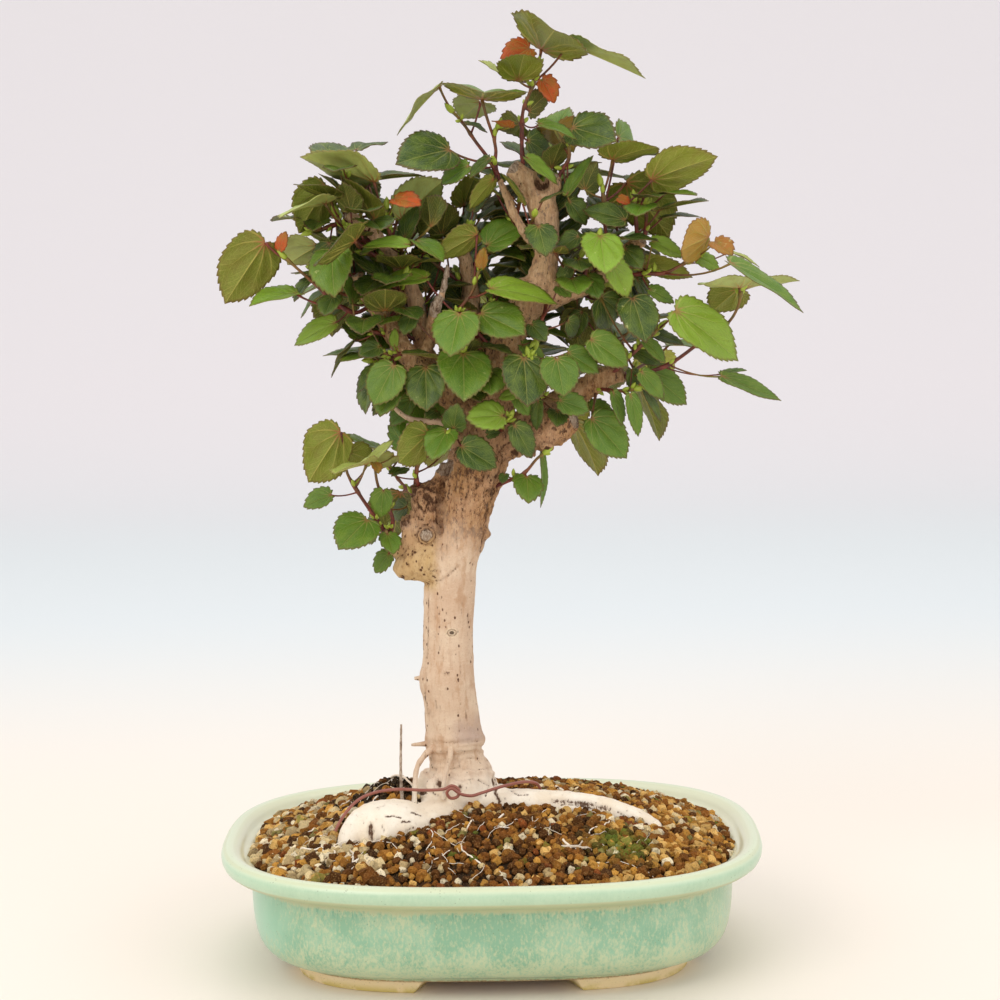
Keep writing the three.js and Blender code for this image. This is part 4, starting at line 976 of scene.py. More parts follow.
def lay_out_shoots():
    """Every shoot's name, stem and leaves, settled one after the other, and the inner twigs."""
    draw = dice(SHOOT_SEED)
    room = Room()
    for points in [TRUNK, *LIMBS.values()]:
        room.mark(wood_spots(points))
    shoots = front_shoots(draw, room)
    for index, row in enumerate(BACK_SHOOTS):
        shoots.append((f"back_{index + 1}", *back_shoot(draw, room, row)))
    return shoots, fill_crown(room)


def front_shoots(draw, room):
    shoots = []
    for name, points, _ in FRONT_SHOOTS:
        stem = [seen(x, z, back) for x, z, back in points]
        shoots.append((name, stem, []))
        room.mark(stem_spots(stem))
    for (_, _, rows), (_, stem, leaves) in zip(FRONT_SHOOTS, shoots):
        for row in rows:
            traits = draw_traits(draw, row[-1])
            leaf, _ = room.clear_leaf(partial(read_leaf, stem, row, traits), ROLLS, SHIFTS)
            room.mark([*blade_spots(leaf), *stalk_spots(leaf)])
            leaves.append(leaf)
    return shoots


def back_shoot(draw, room, row):
    """The stem and the leaves of one shoot behind the limbs."""
    x, z, back, right, away, up, length = row
    aim = unit(np.array([right, away, up]))
    lifts = [np.array([0, 0, STEM_LIFT * length * share * share]) for share in STEM_SHARES]
    stem = [seen(x, z, back) + aim * length * share + lift for share, lift in zip(STEM_SHARES, lifts)]
    room.mark(stem_spots(stem)[3:])
    leaves = []
    for order, tone in enumerate(BACK_TONES):
        traits = draw_traits(draw, tone)
        place = partial(ruled_leaf, stem, order, len(BACK_TONES), traits)
        leaf, crowded = room.clear_leaf(place, BACK_ROLLS, BACK_SHIFTS)
        if crowded <= SPARE_CROWDING:
            room.mark([*blade_spots(leaf), *stalk_spots(leaf)])
            leaves.append(leaf)
    return stem, leaves


def fill_crown(room):
    """Short twigs along the limbs, each with small leaves wherever there is still room."""
    draw = dice(TWIG_SEED)
    twigs = []
    for name, (lean, often) in INNER_LIMBS.items():
        path = wood_path(LIMBS[name], INNER_PACE)[:, :3]
        for before, start in zip(path, path[1:]):
            if draw() > often:
                continue
            along = unit(start - before)
            aim = round_stem(along, 2 * math.pi * draw()) + INNER_AHEAD * along + (0, lean, INNER_UP)
            aim = unit(aim) * (INNER_LENGTH[0] + INNER_LENGTH[1] * draw())
            stem = [start + aim * share + (0, 0, INNER_LIFT * share ** 2) for share in STEM_SHARES]
            leaves = []
            for order in range(INNER_LEAVES):
                # Inner leaves mostly take the dark tone, as painted shade for the crown's shaded inside
                traits = draw_traits(draw, "dark" if draw() < DARK_SHADE_OFTEN else "green")
                scale = INNER_SCALE[0] + INNER_SCALE[1] * draw()
                place = partial(ruled_leaf, stem, order, INNER_LEAVES, traits, scale=scale)
                leaf, crowded = room.clear_leaf(place, BACK_ROLLS, INNER_SHIFTS)
                if crowded <= INNER_CROWDING:
                    room.mark(blade_spots(leaf))
                    leaves.append(leaf)
            if leaves:
                twigs.append((stem, leaves))
    return twigs


# Fine leaves

# Blade outline from the notch to the tip, as shares of length and of width
BLADE_SIDE = [
    (0.0, 0.0), (-0.03, 0.05), (-0.05, 0.12), (-0.05, 0.21), (-0.02, 0.31), (0.05, 0.395), (0.14, 0.455),
    (0.26, 0.495), (0.39, 0.5), (0.52, 0.47), (0.64, 0.41), (0.75, 0.32), (0.84, 0.215), (0.905, 0.12),
    (0.955, 0.045), (1.0, 0.0),
]
OUTLINE_PACE = 0.01
BLADE_HEART = (0.3, 0)
BLADE_CENTRE = np.array([0.08, 0])
BLADE_RINGS = [0.3, 0.55, 0.78, 0.93, 1]
SMALL_BLADE = 28
SMALL_BLADE_RINGS = [0.45, 0.85, 1]
QUILTING = 0.042
MOST_TEETH = 15
FEWEST_TEETH = 6
TOOTH_SHAPE = [0, 0.6, 1]
TOOTH_PITCH = 2.9
TOOTH_HEIGHT = 0.46
TOOTH_LEAN = 0.8
TEETH_FADE_IN = 12
TEETH_FADE_OUT = 7
HALF_SHEET = 0.2
RIB_SPREAD = 0.62
RIB_BEND = 0.42
STEM_FINENESS = 0.74
STEM_PACE = 3
STEM_SIDES = 10
STALK_SIDES = 6
STALK_STEPS = 8
STALK_RADIUS = 0.42
STALK_THICKENING = 0.011
STALK_SWELLING = 0.4
STEM_SLOT = 2
LEAF_SCAR = 0.45
LEAF_SCAR_REACH = 2.2
# A bud's outline, as shares of its length and of its greatest radius, itself a share of the length
BUD_SHARES = np.array([0, 0.2, 0.5, 0.8, 1])
BUD_RADII = np.array([0.35, 0.9, 1, 0.6, 0.05])
BUD_FATNESS = 0.25
TIP_BUD = 9.5
SIDE_BUD = 3.4
SIDE_BUD_SPREAD = 0.6
BUDDING_PHASE = 2.6
TWIGS_A_PIECE = 16

# Colour of the upper and of the under face; the dark tone is partly painted shade, for leaves in the crown's
# shade, and the bright tone partly painted light, for leaves lit on top
LEAF_SHADES = {
    "green": ("567a18", "7c8626"),
    "dark": ("2f4b09", "58621a"),
    "bright": ("84a82e", "a4b040"),
    "pale": ("bccb6c", "b6c06a"),
    "orange": ("cf4f17", "d06a28"),
    "amber": ("a5661a", "b58632"),
}


def outline_of(teeth):
    """One side's outline as rows of (along, across) shares, first smooth and then with so many teeth."""
    row = smooth_path([(along, across, 0) for along, across in BLADE_SIDE], OUTLINE_PACE)[:, :2]
    gone = np.concatenate([[0], np.cumsum(np.hypot(*np.diff(row, axis=0).T))])
    pace = np.linspace(0, 1, teeth * len(TOOTH_SHAPE) + 1)
    smooth = np.column_stack([np.interp(pace * gone[-1], gone, row[:, axis]) for axis in (0, 1)])
    ahead = np.gradient(smooth, axis=0)
    ahead /= np.linalg.norm(ahead, axis=1)[:, None]
    outward = np.column_stack([-ahead[:, 1], ahead[:, 0]])
    outward *= np.sign((outward * (smooth - BLADE_HEART)).sum(axis=1))[:, None]
    depth = np.array([TOOTH_SHAPE[index % len(TOOTH_SHAPE)] for index in range(len(smooth))])
    fade = np.clip(pace * TEETH_FADE_IN, 0, 1) * np.clip((1 - pace) * TEETH_FADE_OUT, 0, 1)
    reach = (depth * fade * TOOTH_HEIGHT / teeth)[:, None]
    return smooth, smooth + (outward + TOOTH_LEAN * ahead) * reach


def blade_colours(leaf):
    """The upper and the under colour of one leaf, each a little its own."""
    lift = 0.86 + 0.28 * (leaf.phase * 7.3 % 1)
    warmth = 0.93 + 0.14 * (leaf.phase * 3.1 % 1)
    pair = []
    for code in LEAF_SHADES[leaf.tone]:
        red, green, blue = shade(code)
        pair.append((red * lift * warmth, green * lift, blue * lift / warmth))
    return pair


def blade_rings(leaf, rings):
    """The blade's points as shares of length and width, how near its rim each is, and points a ring."""
    teeth = limited(round(leaf.length / TOOTH_PITCH), FEWEST_TEETH, MOST_TEETH)
    plain, edged = [np.vstack([side, side[-2:0:-1] * (1, -1)]) for side in outline_of(teeth)]
    shares = [BLADE_CENTRE[None]]
    rims = [np.zeros(1)]
    for ring in rings:
        edge = edged if ring == 1 else plain
        shares.append(BLADE_CENTRE + (edge - BLADE_CENTRE) * ring)
        rims.append(np.full(len(edge), max(0, ring * 2 - 1) ** 4))
    return np.vstack(shares), np.concatenate(rims), len(plain)


def add_blade(skin, leaf):
    """A thin toothed blade: its upper face, its under face and the edge between them."""
    rings = BLADE_RINGS if leaf.length > SMALL_BLADE else SMALL_BLADE_RINGS
    shares, rims, count = blade_rings(leaf, rings)
    along = shares[:, 0] * leaf.length
    across = shares[:, 1] * leaf.width
    reach = np.hypot(along, across) / leaf.length
    turn = np.abs(np.arctan2(across, along)) / (1 - RIB_BEND * reach)
    quilt = QUILTING * leaf.width * np.abs(np.sin(math.pi * turn / RIB_SPREAD))
    quilt *= np.clip(reach * 3, 0, 1) * (1 - rims)
    faces = [[0, 1 + (index + 1) % count, 1 + index] for index in range(count)]
    faces += ring_faces(len(rings), count, 1)
    spots = np.column_stack([shares[:, 1] + 0.5, shares[:, 0]])
    low = len(skin.points) + 1 + (len(rings) - 1) * count
    for slot, (side, colour) in enumerate(zip((1, -1), blade_colours(leaf))):
        points = leaf.spots(along, across, quilt + side * HALF_SHEET)
        wound = [face[::-side] for face in faces]
        skin.add(points, wound, slot, spots, leaf_colour=colour, rim=rims)
    for index in range(count):
        following = (index + 1) % count
        corners = [low + following, low + index, low + len(shares) + index, low + len(shares) + following]
        skin.faces.append(corners)
        skin.slots.append(0)


def add_stalk(skin, leaf):
    """The round, bowed leaf stalk, swollen at both ends."""
    shares = np.linspace(0, 1, STALK_STEPS)
    centres = np.array([leaf.stalk(share) for share in shares])
    thick = STALK_RADIUS + STALK_THICKENING * leaf.width
    radii = thick * (1 + STALK_SWELLING * (2 * shares - 1) ** 6)
    fresh = 0.5 if leaf.tone in YOUNG_TONES else 0.4 * (leaf.phase * 5.7 % 1) ** 2
    skin.add_tube(centres, radii, STALK_SIDES, STEM_SLOT, fresh=fresh * shares)


def add_bud(skin, place, aim, length):
    """A small pointed bud or bract."""
    centres = [place + aim * length * share for share in BUD_SHARES]
    skin.add_tube(centres, BUD_RADII * length * BUD_FATNESS, STALK_SIDES, STEM_SLOT, fresh=1.0)


def add_side_buds(skin, leaf, ahead):
    """A pair of bracts in the corner between a leaf's stalk and the stem."""
    out = unit(leaf.base - leaf.root)
    across = unit(np.cross(ahead, out))
    for lean in (-0.5, 0.5):
        aim = unit(out * 0.6 + ahead * 0.7 + across * lean)
        add_bud(skin, leaf.root + aim * 1.2, aim, SIDE_BUD + SIDE_BUD_SPREAD * leaf.phase)


def add_stem(skin, stem, leaves):
    """The shoot's stem, swollen where leaves leave it, with a bud at its tip and in some corners."""
    row = smooth_path(stem, STEM_PACE)
    shares = np.linspace(0, 1, len(row))
    radii = STEM_FINENESS * (STEM_RADIUS + (STEM_TIP_RADIUS - STEM_RADIUS) * shares)
    for leaf in leaves:
        near = np.linalg.norm(row - leaf.root, axis=1)
        radii = radii + LEAF_SCAR * hump(near, 0, LEAF_SCAR_REACH)
    skin.add_tube(row, radii, STEM_SIDES, STEM_SLOT, fresh=0.3 * shares ** 4)
    ahead = unit(row[-1] - row[-2])
    add_bud(skin, row[-1] - ahead, ahead, TIP_BUD)
    for leaf in leaves:
        if leaf.phase > BUDDING_PHASE:
            add_side_buds(skin, leaf, ahead)


def leafy_skin():
    return Skin(leaf_colour=(0.0, 0.0, 0.0), rim=0.0, fresh=0.0)


def add_leaves(skin, leaves):
    for leaf in leaves:
        add_blade(skin, leaf)
        add_stalk(skin, leaf)


def build_shoots(*materials):
    """A piece for each shoot, one for each young leaf of another colour, and a few of inner twigs."""
    young = 0
    shoots, twigs = lay_out_shoots()
    for name, stem, leaves in shoots:
        skin = leafy_skin()
        add_stem(skin, stem, leaves)
        add_leaves(skin, [leaf for leaf in leaves if leaf.tone not in YOUNG_TONES])
        for leaf in leaves:
            if leaf.tone in YOUNG_TONES:
                young += 1
                alone = leafy_skin()
                add_leaves(alone, [leaf])
                slot = "young_leaf" if leaf.tone == "orange" else "amber_leaf"
                settle(alone.piece(f"young_blade_{young}", *materials), slot, f"young_leaf_{young}")
        settle(skin.piece(f"leafy_{name}", *materials), "leaf", f"shoot_{name}")
    for first in range(0, len(twigs), TWIGS_A_PIECE):
        skin = leafy_skin()
        for stem, leaves in twigs[first:first + TWIGS_A_PIECE]:
            add_stem(skin, stem, leaves)
            add_leaves(skin, leaves)
        settle(skin.piece(f"inner_leaves_{first // TWIGS_A_PIECE + 1}", *materials), "leaf")


# Wood

BARK_LOOKS = {"dark": 0.0, "rough": 0.0, "grey": 0.0, "front": 0.0}
WOOD_PACE = 3
TRUNK_VOXEL = 1.12
BRANCH_VOXEL = 1.25
BARK_SIDES = {"trunk": 36, "limb": 20, "twig": 8, "knot": 14}
TWIG_FINENESS = 0.85
BRANCHES_FROM = 380
FOLDS_ROUND = 11

# Heights on the trunk: where the roots spread, the ring over the wrinkles, and where changes start and end
FLARE_UP = 119
COLLAR_UP = 152.5
FOOT_TOP = (112, 126)
WRINKLES_FROM = (118, 128)
WRINKLES_TO = (144, 150)
ROUGH_FROM = (268, 330)
SMOOTHER_FROM = (420, 470)
STUMP_FOOT = (300, 312)
STUMP_TOP = (360, 370)

# Lumps of the bark: where their noise is taken, size, height, and what rough bark and the stump add to it
BARK_LUMPS = [
    (0, (26, 26, 52), 1.1, 0, 0), (0, (5, 5, 42), 0.45, 0, 0),
    (40, (5.5, 5.5, 7), 0.35, 1.1, 0.7), (90, (2.3, 2.3, 3), 0.2, 0.8, 0.5),
]
FOOT_LUMPS = [(60, (11, 11, 11), 0.9), (65, (4, 4, 4), 0.35)]

TRUNK_LIMBS = (
    "right_stub", "burl", "stump", "stump_prong", "burl_knob", "low_left_branch", "left_root",
    "right_root", "back_right_root", "back_left_root",
)
THIN_LIMBS = (
    "dead_twig", "dead_twig_fork", "trunk_nub", "ring_nub", "left_air_root", "front_air_root",
    "dead_sucker",
)

# Knots and healed stubs that stand out of the wood: across, up, back, how far out, radius
KNOTS = [
    [-43, 298, -14, 5, 6], [22, 357, -12, 7, 4.2], [42, 359, -14, 6, 3.8], [31, 355, -14, 4, 3],
    [-2, 298, -6, 6, 3.4], [-56, 306, -8, 4, 4.6], [26, 470, -6, 6, 5], [8, 392, -8, 8, 6],
    [-10, 350, -16, 6, 4.6], [2, 337, -14, 5, 5], [-60, 290, -6, 4, 3.6],
]

# Scars and dark marks: across, up, half width, half height, how deep, how dark
SCARS = [
    [-86, 85, 2.4, 7.5, 1, 0.7], [20, 355, 3.2, 2.6, 1.4, 0.8],
    [43, 357, 3, 2.6, 1.4, 0.8], [31, 353, 2, 2, 0.8, 0.8], [-51, 286, 1.4, 1.4, 0.5, 0.8],
    [-47, 273, 1, 1, 0.4, 0.8], [-56, 277, 1.2, 1, 0.5, 0.7], [-38, 268, 1.2, 1, 0.5, 0.7],
    [-60, 268, 1.6, 2, 0.8, 0.7], [-14, 352, 5, 4.5, 0.7, 0.55], [2, 328, 3.4, 2.2, 0.6, 0.5],
    [-20, 296, 4, 5, 0.2, 0.22], [-18, 308, 5, 7, 0.2, 0.2], [-22, 322, 3, 6, 0.2, 0.2],
    [-30, 199, 3, 2, 0.2, 0.3], [28, 470, 3, 3, 1, 0.6], [-4, 384, 6, 4, 1, 0.5],
    [-37, 120, 2.2, 4, 1.6, 0.75], [3, 121, 2, 5, 1.6, 0.75], [41, 541, 5, 6, 2.4, 0.65],
    [-22, 116, 2, 3, 0.8, 0.5], [-49, 113, 4, 2, 1, 0.6],
    [-48, 341, 6, 4, 2, 0.8], [-42, 325, 4, 3, 1.2, 0.7], [-57, 308, 4, 5, 0.5, 0.6],
]

# Dead grey wood and sawn ends: across, up, reach
GREY_SPOTS = [
    [-43, 298, 5], [-34, 458, 9], [-29, 474, 8], [-25, 486, 8], [20, 553, 6], [51, 549, 5], [113, 503, 6],
    [-97, 523, 5], [-90, 483, 5], [66, 378, 8], [-30, 346, 7],
]

# A healed bud on the trunk's front, like an eye: across and up
EYE_SCAR = [-25.6, 231.2]

# Rings of ridge and dark line round a healed bud or a sawn end: across, up, radii, squash
RINGS = [
    [-43, 298, (4.6, 6.8), 1.1], [-39, 274, (2.2,), 0.8], [2, 328, (4.4,), 0.7],
]

# Cracks, creases and bark lines, each along a row of (across, up): half width, how deep, how dark; the first
# is the cleft between the stump and the trunk, darkened as painted shadow
CRACKS = [
    [[(-26, 350), (-30, 337), (-33, 323), (-34, 312), (-33, 300)], 1.5, 3.4, 0.45],
    [[(-47, 263), (-40, 263.5), (-34, 265.5), (-27, 269.5), (-21, 275)], 0.9, 1.3, 0.4],
    [[(8, 333), (1, 319), (-2, 306), (-4, 292), (-6, 278), (-5, 262), (-6, 240)], 0.6, 0.7, 0.5],
    [[(-6, 240), (-8, 222), (-7, 200), (-5, 180), (-6, 166)], 0.6, 0.4, 0.5],
    [[(-42, 262), (-43, 240), (-43, 222), (-44, 210)], 0.6, 0.4, 0.45],
    [[(-45, 200), (-46, 182), (-44, 168)], 0.6, 0.4, 0.4],
    [[(4, 118), (3, 112), (6, 106), (4, 101)], 1.1, 1.4, 0.85],
    [[(-75, 96), (-70, 97), (-65, 95)], 0.8, 0.5, 0.75], [[(-64, 92), (-58, 92)], 0.7, 0.4, 0.7],
    [[(-57, 99), (-50, 96)], 0.7, 0.4, 0.6], [[(-78, 90), (-77, 85)], 0.6, 0.4, 0.5],
    [[(-60, 86), (-55, 88)], 0.6, 0.4, 0.5], [[(-82, 103), (-76, 105)], 0.6, 0.3, 0.4],
    [[(44, 106), (56, 105), (70, 103), (84, 99)], 2.2, 0.7, 0.55],
    [[(50, 103), (62, 102), (76, 99)], 0.9, 0.5, 0.7], [[(90, 97), (98, 92)], 0.8, 0.5, 0.6],
    [[(-56, 319), (-60, 310), (-61, 300)], 1.2, 1.2, 0.7],
    [[(-52, 329), (-46, 333), (-38, 330)], 2.2, 1.6, 0.8],
    [[(-50, 322), (-44, 314), (-40, 322)], 1, 0.9, 0.7],
    [[(-14, 346), (-12, 330), (-16, 318)], 1.2, 0.7, 0.5], [[(4, 352), (-2, 338), (-8, 330)], 2, 0.9, 0.5],
    [[(12, 350), (8, 340), (4, 330)], 1.2, 0.6, 0.5], [[(20, 366), (12, 358), (6, 348)], 1.4, 0.8, 0.5],
    [[(-40, 150), (-30, 149), (-20, 149.5), (-8, 150)], 0.6, 0.7, 0.35],
    [[(-38, 143), (-28, 142), (-16, 143)], 0.5, 0.5, 0.35],
    [[(-34, 137), (-22, 136.5), (-10, 138)], 0.5, 0.5, 0.35],
    [[(-40, 131), (-30, 130), (-24, 131)], 0.5, 0.6, 0.4],
    [[(-20, 130), (-10, 129), (2, 131)], 0.5, 0.5, 0.35],
    [[(-30, 124), (-20, 121), (-12, 123)], 0.6, 0.6, 0.4],
    [[(-8, 122), (-2, 117), (-4, 110)], 0.8, 0.9, 0.5],
    [[(-46, 116), (-40, 112), (-34, 108)], 0.8, 0.9, 0.45],
    [[(12, 116), (18, 111), (26, 110)], 0.8, 0.8, 0.5],
]


def wood_path(points, pace):
    return smooth_path([(*seen(x, z, back), radius) for x, z, back, radius in points], pace)


def murmur(places, *size):
    """Noise between -1 and 1 at each place, its lumps so many millimetres across."""
    return np.array([noise.noise(Vector(row)) for row in places / np.array(size)])


def rise(values, low, high):
    """0 below low, 1 above high, smooth between."""
    share = np.clip((values - low) / (high - low), 0, 1)
    return share * share * (3 - 2 * share)


def gap_to(row, across, up):
    """How far each spot lies from a row of joined straight lines."""
    least = np.full(len(across), 1e9)
    for (x0, z0), (x1, z1) in zip(row, row[1:]):
        length = math.hypot(x1 - x0, z1 - z0)
        share = ((across - x0) * (x1 - x0) + (up - z0) * (z1 - z0)) / length ** 2
        share = np.clip(share, 0, 1)
        least = np.minimum(least, np.hypot(across - x0 - share * (x1 - x0), up - z0 - share * (z1 - z0)))
    return least


def bark_relief(places, outward):
    """How far the bark stands out at each place, and its looks: dark, rough, grey, or turned to the front."""
    stretch = 1 - places[:, 1] / EYE[1]
    across = EYE[0] + (places[:, 0] - EYE[0]) / stretch
    up = EYE[2] + (places[:, 2] - EYE[2]) / stretch
    front = rise(-outward[:, 1], -0.1, 0.3)
    stump = rise(up, *STUMP_FOOT) * rise(-across, 27, 35) * (1 - rise(up, *STUMP_TOP))
    border = up + 16 * murmur(places + 50, 16, 16, 30)
    rough = np.maximum(rise(border, *ROUGH_FROM) * (1 - 0.35 * rise(up, *SMOOTHER_FROM)), stump)
    foot = 1 - rise(up, *FOOT_TOP)
    height = np.zeros(len(places))
    for offset, size, plain, on_rough, on_stump in BARK_LUMPS:
        height += (plain + on_rough * rough + on_stump * stump) * murmur(places + offset, *size)
    wrinkle = np.sin(up * 1.15 + 2.4 * murmur(places, 14, 14, 30)) * (0.6 + murmur(places + 9, 9, 9, 9))
    height += 0.6 * (wrinkle - 1) * rise(up, *WRINKLES_FROM) * (1 - rise(up, *WRINKLES_TO))
    height += 0.7 * hump(up - 1.5 * murmur(places + 5, 16, 16, 40), COLLAR_UP, 2.6)
    height *= 1 - 0.45 * foot
    for offset, size, plain in FOOT_LUMPS:
        height += foot * plain * murmur(places + offset, *size)
    bearing = np.arctan2(places[:, 1], places[:, 0] - TRUNK[1][0])
    fold = np.cos(FOLDS_ROUND * bearing + 3 * murmur(places + 70, 18, 18, 30)) * hump(up, FLARE_UP, 9)
    height += 1.3 * fold * (1 - rise(np.hypot(places[:, 0] - TRUNK[1][0], places[:, 1]), 38, 46))
    dark = 0.5 * stump * rise(murmur(places + 20, 7, 7, 5), -0.25, 0.3)
    across = across + 0.8 * murmur(places + 13, 3, 3, 3)
    up = up + 0.8 * murmur(places + 33, 3, 3, 3)
    add_marks(height, dark, across, up, front)
    grey = np.zeros(len(across))
    for x, z, reach in GREY_SPOTS:
        grey = np.maximum(grey, 1 - rise(np.hypot(across - x, up - z) / reach, 0.7, 1.1))
    return height, {"dark": dark, "rough": rough, "grey": grey, "front": front}


def add_marks(height, dark, across, up, front):
    """Cuts the scars, rings and cracks of the front into the relief and darkens them; the cleft between the
    stump and the trunk is darkened as painted shadow.
    """
    for x, z, wide, high, deep, depth in SCARS:
        gone = np.hypot((across - x) / wide, (up - z) / high)
        inside = (1 - rise(gone, 0.6, 1.2)) * front
        height += 0.6 * deep * hump(gone, 1.4, 0.3) * front - deep * inside
        np.maximum(dark, depth * inside, out=dark)
    for x, z, radii, squash in RINGS:
        gone = np.hypot(across - x, (up - z) / squash)
        for radius in radii:
            line = hump(gone, radius, 0.55) * front
            height += 0.5 * hump(gone, radius + 0.9, 0.6) * front - 0.4 * line
            np.maximum(dark, 0.6 * line, out=dark)
    for row, wide, deep, depth in CRACKS:
        line = hump(gap_to(row, across, up), 0, wide) * front
        height -= deep * line
        np.maximum(dark, depth * line, out=dark)


def grown(skin, name, voxel, bark):
    """Many lengths of wood grown into one skin, with bark relief and its marks."""
    wood = skin.piece(name, bark)
    modify(wood, "REMESH", mode="VOXEL", voxel_size=voxel / METRE)
    modify(wood, "SMOOTH", iterations=4, factor=0.5)
    mesh = wood.data
    places = places_of(wood)
    outward = np.array([vertex.normal for vertex in mesh.vertices])
    height, looks = bark_relief(places, outward)
    places += outward * height[:, None]
    mesh.vertices.foreach_set("co", metres(places).ravel())
    for kind, gathered in looks.items():
        add_values(mesh, kind, gathered.astype(np.float32))
    mesh.update()
    only(wood)
    bpy.ops.object.shade_smooth()
    return settle(wood, "bark", "wood")


def build_wood(bark):
    """Trunk with burl and roots, the branches, and the thin dead twigs and air roots."""
    trunk, branches = Skin(), Skin()
    thin = Skin(**BARK_LOOKS)
    trunk_path = wood_path(TRUNK, WOOD_PACE)
    trunk.add_tube(trunk_path[:, :3], trunk_path[:, 3], BARK_SIDES["trunk"])
    for name, points in LIMBS.items():
        path = wood_path(points, WOOD_PACE)
        if name in THIN_LIMBS:
            radii = path[:, 3] * (1 + 0.1 * np.sin(np.arange(len(path)) * 1.9))
            grey = 1.0 if name == "dead_sucker" else 0.0
            thin.add_tube(path[:, :3], TWIG_FINENESS * radii, BARK_SIDES["twig"], grey=grey)
        else:
            skin = trunk if name in TRUNK_LIMBS else branches
            skin.add_tube(path[:, :3], path[:, 3], BARK_SIDES["limb"])
    for x, z, back, out, radius in KNOTS:
        centres = np.array([seen(x, z, back - out * share) for share in (-1, 0, 0.7, 1)])
        skin = branches if z > BRANCHES_FROM else trunk
        skin.add_tube(centres, radius * np.array([1.3, 1.15, 1, 0.7]), BARK_SIDES["knot"])
    settle(thin.piece("thin_wood", bark), "bark", "wood")
    grown(branches, "branch_wood", BRANCH_VOXEL, bark)
    return grown(trunk, "trunk_wood", TRUNK_VOXEL, bark)


# Tie wire

WIRE_PACE = 1.6
WIRE_SIDES = 12


def build_wire(finish):
    skin = Skin()
    path = smooth_path([seen(x, z, back) for x, z, back in WIRE], WIRE_PACE)
    skin.add_tube(path, np.full(len(path), WIRE_RADIUS), WIRE_SIDES)
    return settle(skin.piece("root_tie_wire", finish), "wire", "tie_wire")


# Pot

START_SIZE = 100
POT_SIDES = 144
DRILL_SIDES = 48
DRILL_LENGTH = 60
CLAY_ABOVE_FEET = 1.2
OUTLINE_STEPS = 4001
POT_CREASE = 50
FOOT_STEPS = 14
FOOT_BITE = 2
FOOT_ROUNDING = 0.9
FOOT_SLANT = 0.05
FOOT_INSETS = {"under": 52, "top": 50, "inner": 74}
# Where a foot starts and ends in its quarter of a turn: the feet at the ends of one diagonal, then the others
FOOT_TURNS = [(0.18, 1.41), (0.21, 1.41)]
SCREEN_GAP = 0.3
SCREEN_SIZE = 28
SCREEN_THICKNESS = 1
SCREEN_BARS = 9

# Inset from the rim's outer edge and height, from the underside out and up over the lip, then down inside
POT_PROFILE = [
    [52, 9.6], [49, 9], [47.2, 10], [46.2, 11.6], [45.4, 12.9], [43.6, 13.6], [41, 13.9], [38.4, 14.6],
    [35.4, 16.2], [32.4, 18.4], [29.8, 21.2], [27.5, 24.4], [25.6, 28], [24.1, 32.4], [22.9, 38],
    [22, 44], [21.3, 52], [20.8, 60], [20, 65.6],
    [17.8, 68], [14, 69.4], [9.5, 70.8], [5.2, 72.8], [2, 75.4], [0.6, 78.4], [0.3, 81.4], [1, 84.2],
    [2.8, 86.2], [5.4, 87], [8.2, 86.7], [10.8, 85.6], [12.8, 84.2], [14.2, 82.4], [15.2, 80.8],
    [16.8, 79.8], [19, 79.2], [20.6, 77.6], [22.4, 75], [25, 70], [28, 64], [30, 50], [31.5, 36],
    [37, 26], [43, 19.6], [48, 17.5],
]


def oval_row(inset, height, turns):
    """Points of the pot's outline at the given turns, inset from the rim's edge."""
    cosine, sine = np.cos(turns), np.sin(turns)
    squareness = limited((WAIST_HEIGHT - height) / WAIST_DROP)
    power = 2 / (OVAL_POWER + (LOW_POWER - OVAL_POWER) * squareness)
    across = np.sign(cosine) * np.abs(cosine) ** power * (RIM_LENGTH / 2 - inset)
    deep = np.sign(sine) * np.abs(sine) ** power * (RIM_DEPTH / 2 - inset)
    return np.column_stack([across, deep, np.full(len(turns), float(height))])


def even_turns(count):
    """Turns that lie evenly along the outline."""
    fine = np.linspace(0, 2 * math.pi, OUTLINE_STEPS)
    row = oval_row(0, 0, fine)
    gone = np.concatenate([[0], np.cumsum(np.linalg.norm(np.diff(row, axis=0), axis=1))])
    return np.interp(np.arange(count) / count * gone[-1], gone, fine)


def build_pot():
    """The bowl is drawn up ring after ring from its underside, over the lip and down to its floor."""
    bpy.ops.mesh.primitive_circle_add(vertices=POT_SIDES, radius=START_SIZE / METRE, fill_type="NGON")
    pot = bpy.context.object
    pot.name = "glazed_pot"
    (inset, height), *rest = POT_PROFILE
    turns = even_turns(POT_SIDES)
    pot.data.vertices.foreach_set("co", metres(oval_row(inset, height, turns)).ravel())
    edit_whole()
    for inset, height in rest:
        bpy.ops.mesh.extrude_region_move()
        shape = bmesh.from_edit_mesh(pot.data)
        ring = [vertex for vertex in shape.verts if vertex.select]
        for vertex, place in zip(ring, metres(oval_row(inset, height, turns))):
            vertex.co = place
        bmesh.update_edit_mesh(pot.data)
    end_with_faces_out()
    crest = [height for _, height in POT_PROFILE].index(POT_HEIGHT)
    rings = np.arange(len(pot.data.vertices)) // POT_SIDES
    add_values(pot.data, "inner", np.clip((rings - crest) / 2, 0, 1).astype(np.float32))
    for side in (-1, 1):
        bpy.ops.mesh.primitive_cylinder_add(
            vertices=DRILL_SIDES, radius=DRAIN_RADIUS / METRE, depth=DRILL_LENGTH / METRE,
            location=metres((side * DRAIN_OFFSET, 0, FLOOR_HEIGHT)),
        )
        drill = bpy.context.object
        modify(pot, "BOOLEAN", object=drill, operation="DIFFERENCE", solver="EXACT")
        only(drill)
        bpy.ops.object.delete()
    return pot


